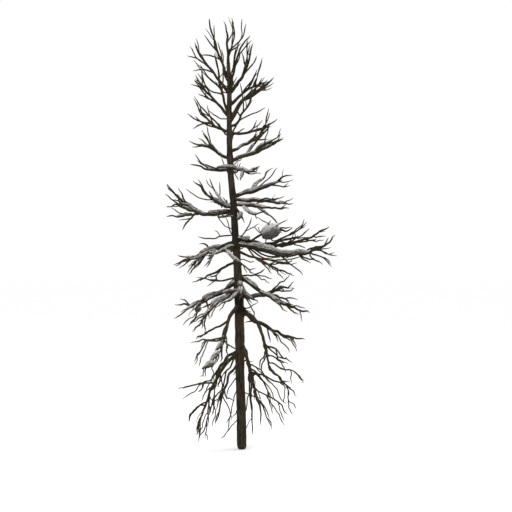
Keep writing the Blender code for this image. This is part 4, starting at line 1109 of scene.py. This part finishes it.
def snow_material(name, streaked):
    """Dirty snow with dark dirt in the streaks, painted pale on top, grey on its sides and dark below as
    light and shade.
    """
    finish, shader, start = new_material(name)
    place = place_of(start)
    upward = upward_of(start)
    pattern = along_limb(start, 3.2) if streaked else place.turned(-45).stretched(13.0, 5.0)
    streaks = pattern.grain(1.7 if streaked else 0.8, 4.0, 0.65)
    scratches = pattern.grain(3.6 if streaked else 3.0, 3.0)
    cloud = place.grain(4.5, 2.0)
    crumbs = place.grain(85.0, 2.0)
    # painted light and shade: faces that look up go paler, and streaks and clouds vary it, along a ramp
    # from dirt and shade through shaded grey to a lit pale
    light = (upward * 0.30 + streaks * 1.30 + cloud * 0.60).between(0.55, 1.45)
    colour = light.node("ShaderNodeValToRGB", {"stops": (
        (0.0, SNOW_DIRT_AND_SHADE), (0.42, SNOW_GREY_AND_SHADED), (1.0, SNOW_PALE_AND_LIT))}, {"Fac": light})
    colour = ((1 - scratches.between(0.41, 0.51)) * (0.85 if streaked else 0.80)).mix(colour, SNOW_DIRT_AND_SHADE)
    # painted shade: the underside is darkened toward near black
    colour = ((1 - upward.between(-0.75, 0.05)) * 0.85).mix(colour, SNOW_DIRT_AND_SHADE)
    colour = (crumbs.between(0.55, 0.75) * 0.25).mix(colour, SNOW_GREY_AND_SHADED)
    finish_with(shader, colour, 0.60 + crumbs * 0.3, streaks * 0.6 + scratches * 0.4, 0.006)
    return finish


def bank_line(line, start, end, thickness):
    """Centre line and half thickness of a bank of snow along a limb's own line."""
    points, radii = line
    total = measure(points)
    length = total[-1] * (end - start)
    count = max(6, round(length / SNOW_STEP))
    course = []
    halves = []
    for step in range(count + 1):
        part = step / count
        point = point_at(points, start + (end - start) * part)[0]
        middle = math.sin(math.pi * (SNOW_TRIM + (1 - 2 * SNOW_TRIM) * part))
        half = thickness / 2 * (SNOW_LEAST + (1 - SNOW_LEAST) * middle)
        half *= SNOW_PLAIN + SNOW_HUMP * noise.noise(point * SNOW_HUMPS)
        half *= min(1.0, SNOW_ENDS[0] + SNOW_ENDS[1] * min(part, 1 - part))
        course.append(point + UP * half * SNOW_RISE)
        halves.append(half)
    return course, halves


def snow_banks(name, lines):
    """Banks swept along their limbs: wider than thick, flatter below, crusted and streaked."""
    mesh = swept(name, lines, SNOW_SIDES)
    for number, centre, _, travelled, ring in rings_of(mesh, lines, SNOW_SIDES):
        for side, vert in enumerate(ring):
            out = vert.co - centre
            level = Vector((out.x, out.y, 0.0))
            out = level * SNOW_WIDTH + UP * out.z * (1.0 if out.z > 0 else SNOW_BELOW)
            angle = math.tau * side / SNOW_SIDES
            across, over = math.cos(angle) * SNOW_TURN, math.sin(angle) * SNOW_TURN
            streak = noise.noise(Vector((across, over, travelled * SNOW_RUN + number * NEXT_BANK)))
            crust = noise.noise(vert.co * SNOW_CRUMBS)
            out *= 1 + streak * SNOW_STREAK + crust * SNOW_CRUST
            out *= 1 + noise.noise(vert.co * SNOW_KNOBS) * SNOW_KNOB
            vert.co = centre + out
    return mesh


bank_snow = snow_material("bank_snow", True)
for name, start, end, thickness in SNOW_COVERS:
    line = bank_line(by_name[name].line, start, end, thickness)
    node = name + ("_twigs" if start > by_name[name].limb.share else "_snow")
    dress(snow_banks(name + "_bank", [line]), name + "_bank", bank_snow, [node])
for whorl in ("upper", "middle", "broad", "low"):
    lines = []
    for name, fork_number, start, end, thickness in LESSER_BANKS:
        if name.startswith(whorl):
            growth = by_name[name]
            line = growth.line if fork_number is None else growth.fork_lines[fork_number]
            lines.append(bank_line(line, start, end, thickness))
    dress(snow_banks(whorl + "_snow", lines), whorl + "_snow", bank_snow)

# ------------------------------------------------------------------ snow lodged against the trunk
# Where limbs leave the trunk side by side, old snow sticks in the crotches and on the bark in
# front of them.  Short crusted ridges, dirty and streaked like the banks.

# points along each ridge, its thickness
LODGED = (
    (((-0.62, -0.06, 6.44), (-0.38, -0.11, 6.47), (-0.20, -0.12, 6.45), (-0.02, -0.20, 6.40)), 0.085),
    (((-0.50, -0.09, 5.34), (-0.34, -0.10, 5.33), (-0.18, -0.12, 5.35)), 0.055),
    (((-0.02, -0.12, 5.46), (-0.02, -0.13, 5.36), (-0.10, -0.12, 5.25)), 0.080),
    (((0.00, -0.10, 4.82), (0.09, -0.12, 4.80), (0.19, -0.10, 4.84)), 0.125),
    (((-0.05, -0.13, 3.88), (-0.03, -0.16, 3.74), (0.03, -0.16, 3.62), (0.13, -0.15, 3.52)), 0.125),
)

ridges = []
for stations, thickness in LODGED:
    flow = flowing([Vector(station) for station in stations], [1.0] * len(stations))
    ridges.append(bank_line(flow, 0.0, 1.0, thickness))
dress(snow_banks("lodged_snow", ridges), "lodged_snow", bank_snow)

# ------------------------------------------------------------------ snow caught among the twigs
# A great round ball that slid together on the twigs of one broad limb, a small clot on a low
# limb, and three pointed clots frozen one under another on a limb that hangs.

# limb, fork number, share of the fork, half length, half width, the way the lump lies (none
# where it lies along its twig); the first is the ball
SNOW_LUMPS = (
    ("broad_right_b", 2, 0.50, 0.2450, 0.1820, None),
    ("low_left_a", 2, 0.40, 0.0900, 0.0700, None),
    ("hanging_left_a", 4, 0.22, 0.1265, 0.0558, (-0.62, 0.0, -0.78)),
    ("hanging_left_a", 4, 0.48, 0.1625, 0.0645, (-0.60, 0.0, -0.80)),
    ("hanging_left_a", 4, 0.72, 0.1584, 0.0715, (-0.84, 0.0, -0.54)),
)
# dark of the painted shade at the ball's lower edge, its own grey, and the pale of its painted highlight
BALL_PAINTED_SHADE = (0.032, 0.030, 0.028)
BALL_GREY = (0.150, 0.147, 0.142)
BALL_PAINTED_HIGHLIGHT = (0.800, 0.785, 0.770)


def ball_material():
    """Wet packed snow, brushed smooth, with a painted highlight high on its side and painted shade toward
    its lower edge.
    """
    finish, shader, start = new_material("ball_snow")
    place = place_of(start)
    brushed = place.turned(-50).stretched(32.0, 5.0).grain(1.0, 3.0)
    cloud = place.grain(6.5, 2.0)
    # painted highlight and shade: faces that look up, and the cloud noise, run toward the pale highlight,
    # the lower edge toward dark shade
    light = (upward_of(start) * 0.42 + brushed * 0.50 + cloud * 0.75).between(0.20, 1.20)
    colour = light.node("ShaderNodeValToRGB", {"stops": (
        (0.0, BALL_PAINTED_SHADE), (0.52, BALL_GREY), (1.0, BALL_PAINTED_HIGHLIGHT))}, {"Fac": light})
    finish_with(shader, colour, 0.42 + brushed * 0.2, brushed, 0.003, 0.35)
    return finish


CLOT_UNEVEN = 0.22          # how far a lump is from round
CLOT_TURNS = 1.1            # how often that changes over its half width
NEXT_CLOT = 3.1             # shift of the pattern from one lump to the next
CLOT_CRUST = 0.09           # height of the smaller lumps on a clot
BALL_CRUST = 0.05           # and on the ball, which is smoother
CRUST_TURNS = 3.5           # how often those change
CLOT_POINTS = (0.92, -0.48)     # width of a clot's middle, and what it gains toward its far end
BALL_POINTS = (0.96, 0.20)      # and the ball's
BALL_SAG = Vector((-0.012, 0.0, -0.040))        # of the ball, below its twig
STUB_TIP = 0.010            # radius of the end of a twig that sticks out of it
# points of each dead twig that sticks out of the ball, from the ball's centre, and its radius
BALL_STUBS = (
    (((-0.12, 0.0, -0.03), (-0.24, -0.02, -0.02), (-0.37, -0.04, 0.11)), 0.015),
    (((-0.20, 0.0, -0.02), (-0.25, -0.03, 0.03), (-0.28, -0.03, 0.11)), 0.012),
    (((-0.01, -0.06, 0.10), (-0.05, -0.08, 0.19), (-0.19, -0.10, 0.26), (-0.30, -0.08, 0.34)), 0.016),
    (((-0.05, -0.08, 0.18), (-0.02, -0.09, 0.21), (0.01, -0.10, 0.26)), 0.013),
    (((-0.08, -0.02, -0.11), (-0.09, -0.04, -0.17), (-0.11, -0.03, -0.25)), 0.024),
    (((0.03, -0.02, -0.12), (0.03, -0.04, -0.17), (0.06, -0.03, -0.21), (0.14, 0.0, -0.20)), 0.024),
    (((0.10, 0.0, 0.02), (0.20, -0.02, 0.05), (0.28, -0.03, 0.04), (0.36, -0.02, 0.01),
      (0.44, 0.0, 0.04), (0.52, 0.0, 0.10)), 0.036),
)

ball_snow = ball_material()
clot_snow = snow_material("clot_snow", False)
for number, (name, fork_number, share, half_length, half_width, lies) in enumerate(SNOW_LUMPS):
    is_ball = number == 0
    centre, ahead = point_at(by_name[name].fork_lines[fork_number][0], share)
    if lies:
        ahead = Vector(lies)
    if is_ball:
        centre = centre + BALL_SAG
        ball_centre = centre
    clot = bmesh.new()
    bmesh.ops.create_icosphere(clot, subdivisions=6 if is_ball else 5, radius=1.0)
    for vert in clot.verts:
        pattern = vert.co * CLOT_TURNS + Vector((number * NEXT_CLOT, 0, 0))
        rough = noise.noise(pattern) * CLOT_UNEVEN
        rough += noise.noise(vert.co * CRUST_TURNS) * (BALL_CRUST if is_ball else CLOT_CRUST)
        middle, gain = BALL_POINTS if is_ball else CLOT_POINTS
        width = middle + gain * vert.co.z
        vert.co = Vector((vert.co.x * width, vert.co.y * width, vert.co.z)) * (1 + rough)
    bmesh.ops.scale(clot, vec=(half_width, half_width, half_length), verts=clot.verts)
    bmesh.ops.rotate(clot, matrix=ahead.to_track_quat("Z", "Y").to_matrix(), verts=clot.verts)
    bmesh.ops.translate(clot, vec=centre, verts=clot.verts)
    mesh = bpy.data.meshes.new("snow_clot_" + str(number + 1))
    clot.to_mesh(mesh)
    clot.free()
    finish = ball_snow if is_ball else clot_snow
    dress(mesh, "snow_clot_" + str(number + 1), finish)

stubs = []
for offsets, radius in BALL_STUBS:
    stations = [ball_centre + Vector(offset) for offset in offsets]
    last = len(stations) - 1
    stubs.append(flowing(stations, [radius + (STUB_TIP - radius) * i / last for i in range(last + 1)]))
dress(with_bark("ball_stubs", stubs, FORK_SIDES), "ball_stubs", limb_bark)

# ------------------------------------------------------------------ the floor, the light and the camera
# A plain white floor under a white sky, two broad soft lights from above, one in front and one
# behind, and a long lens level with the middle of the tree.

FLOOR_SIZE = 400.0
# name, place, size and power of each light
LIGHTS = (("key", (-5.0, -9.0, 16.0), 7.0, 900.0), ("fill", (9.0, 6.0, 13.0), 8.0, 500.0))
LIT_POINT = (0.0, 0.0, 5.0)
CAMERA_DISTANCE = 30.0
FRAME_WIDTH = 11.776        # metres across the view at the tree
FRAME_CENTRE = (0.327, 4.439)
SENSOR = 36.0

floor_shape = bmesh.new()
bmesh.ops.create_grid(floor_shape, x_segments=1, y_segments=1, size=FLOOR_SIZE / 2)
floor_mesh = bpy.data.meshes.new("floor")
floor_shape.to_mesh(floor_mesh)
floor_shape.free()
floor = bpy.data.objects.new("floor", floor_mesh)
floor_finish, floor_shader, _ = new_material("floor")
floor_shader.inputs["Base Color"].default_value = (0.995, 0.995, 0.995, 1.0)
floor_shader.inputs["Roughness"].default_value = 0.9
floor_mesh.materials.append(floor_finish)
into_scene(floor)

sky = bpy.data.worlds.new("sky")
sky.use_nodes = True
sky.node_tree.nodes["Background"].inputs["Color"].default_value = (1.0, 1.0, 1.0, 1.0)
sky.node_tree.nodes["Background"].inputs["Strength"].default_value = 1.0
bpy.context.scene.world = sky
bpy.context.scene.view_settings.view_transform = "Standard"

for name, place, size, power in LIGHTS:
    light = bpy.data.lights.new(name, "AREA")
    light.size = size
    light.energy = power
    lamp = bpy.data.objects.new(name, light)
    lamp.location = place
    lamp.rotation_euler = (Vector(LIT_POINT) - lamp.location).to_track_quat("-Z", "Y").to_euler()
    into_scene(lamp)

lens = bpy.data.cameras.new("camera")
lens.sensor_width = SENSOR
lens.lens = SENSOR * CAMERA_DISTANCE / FRAME_WIDTH
lens.clip_end = 1000.0
camera = bpy.data.objects.new("camera", lens)
camera.location = (FRAME_CENTRE[0], -CAMERA_DISTANCE, FRAME_CENTRE[1])
camera.rotation_euler = (math.radians(90), 0.0, 0.0)
into_scene(camera)
bpy.context.scene.camera = camera
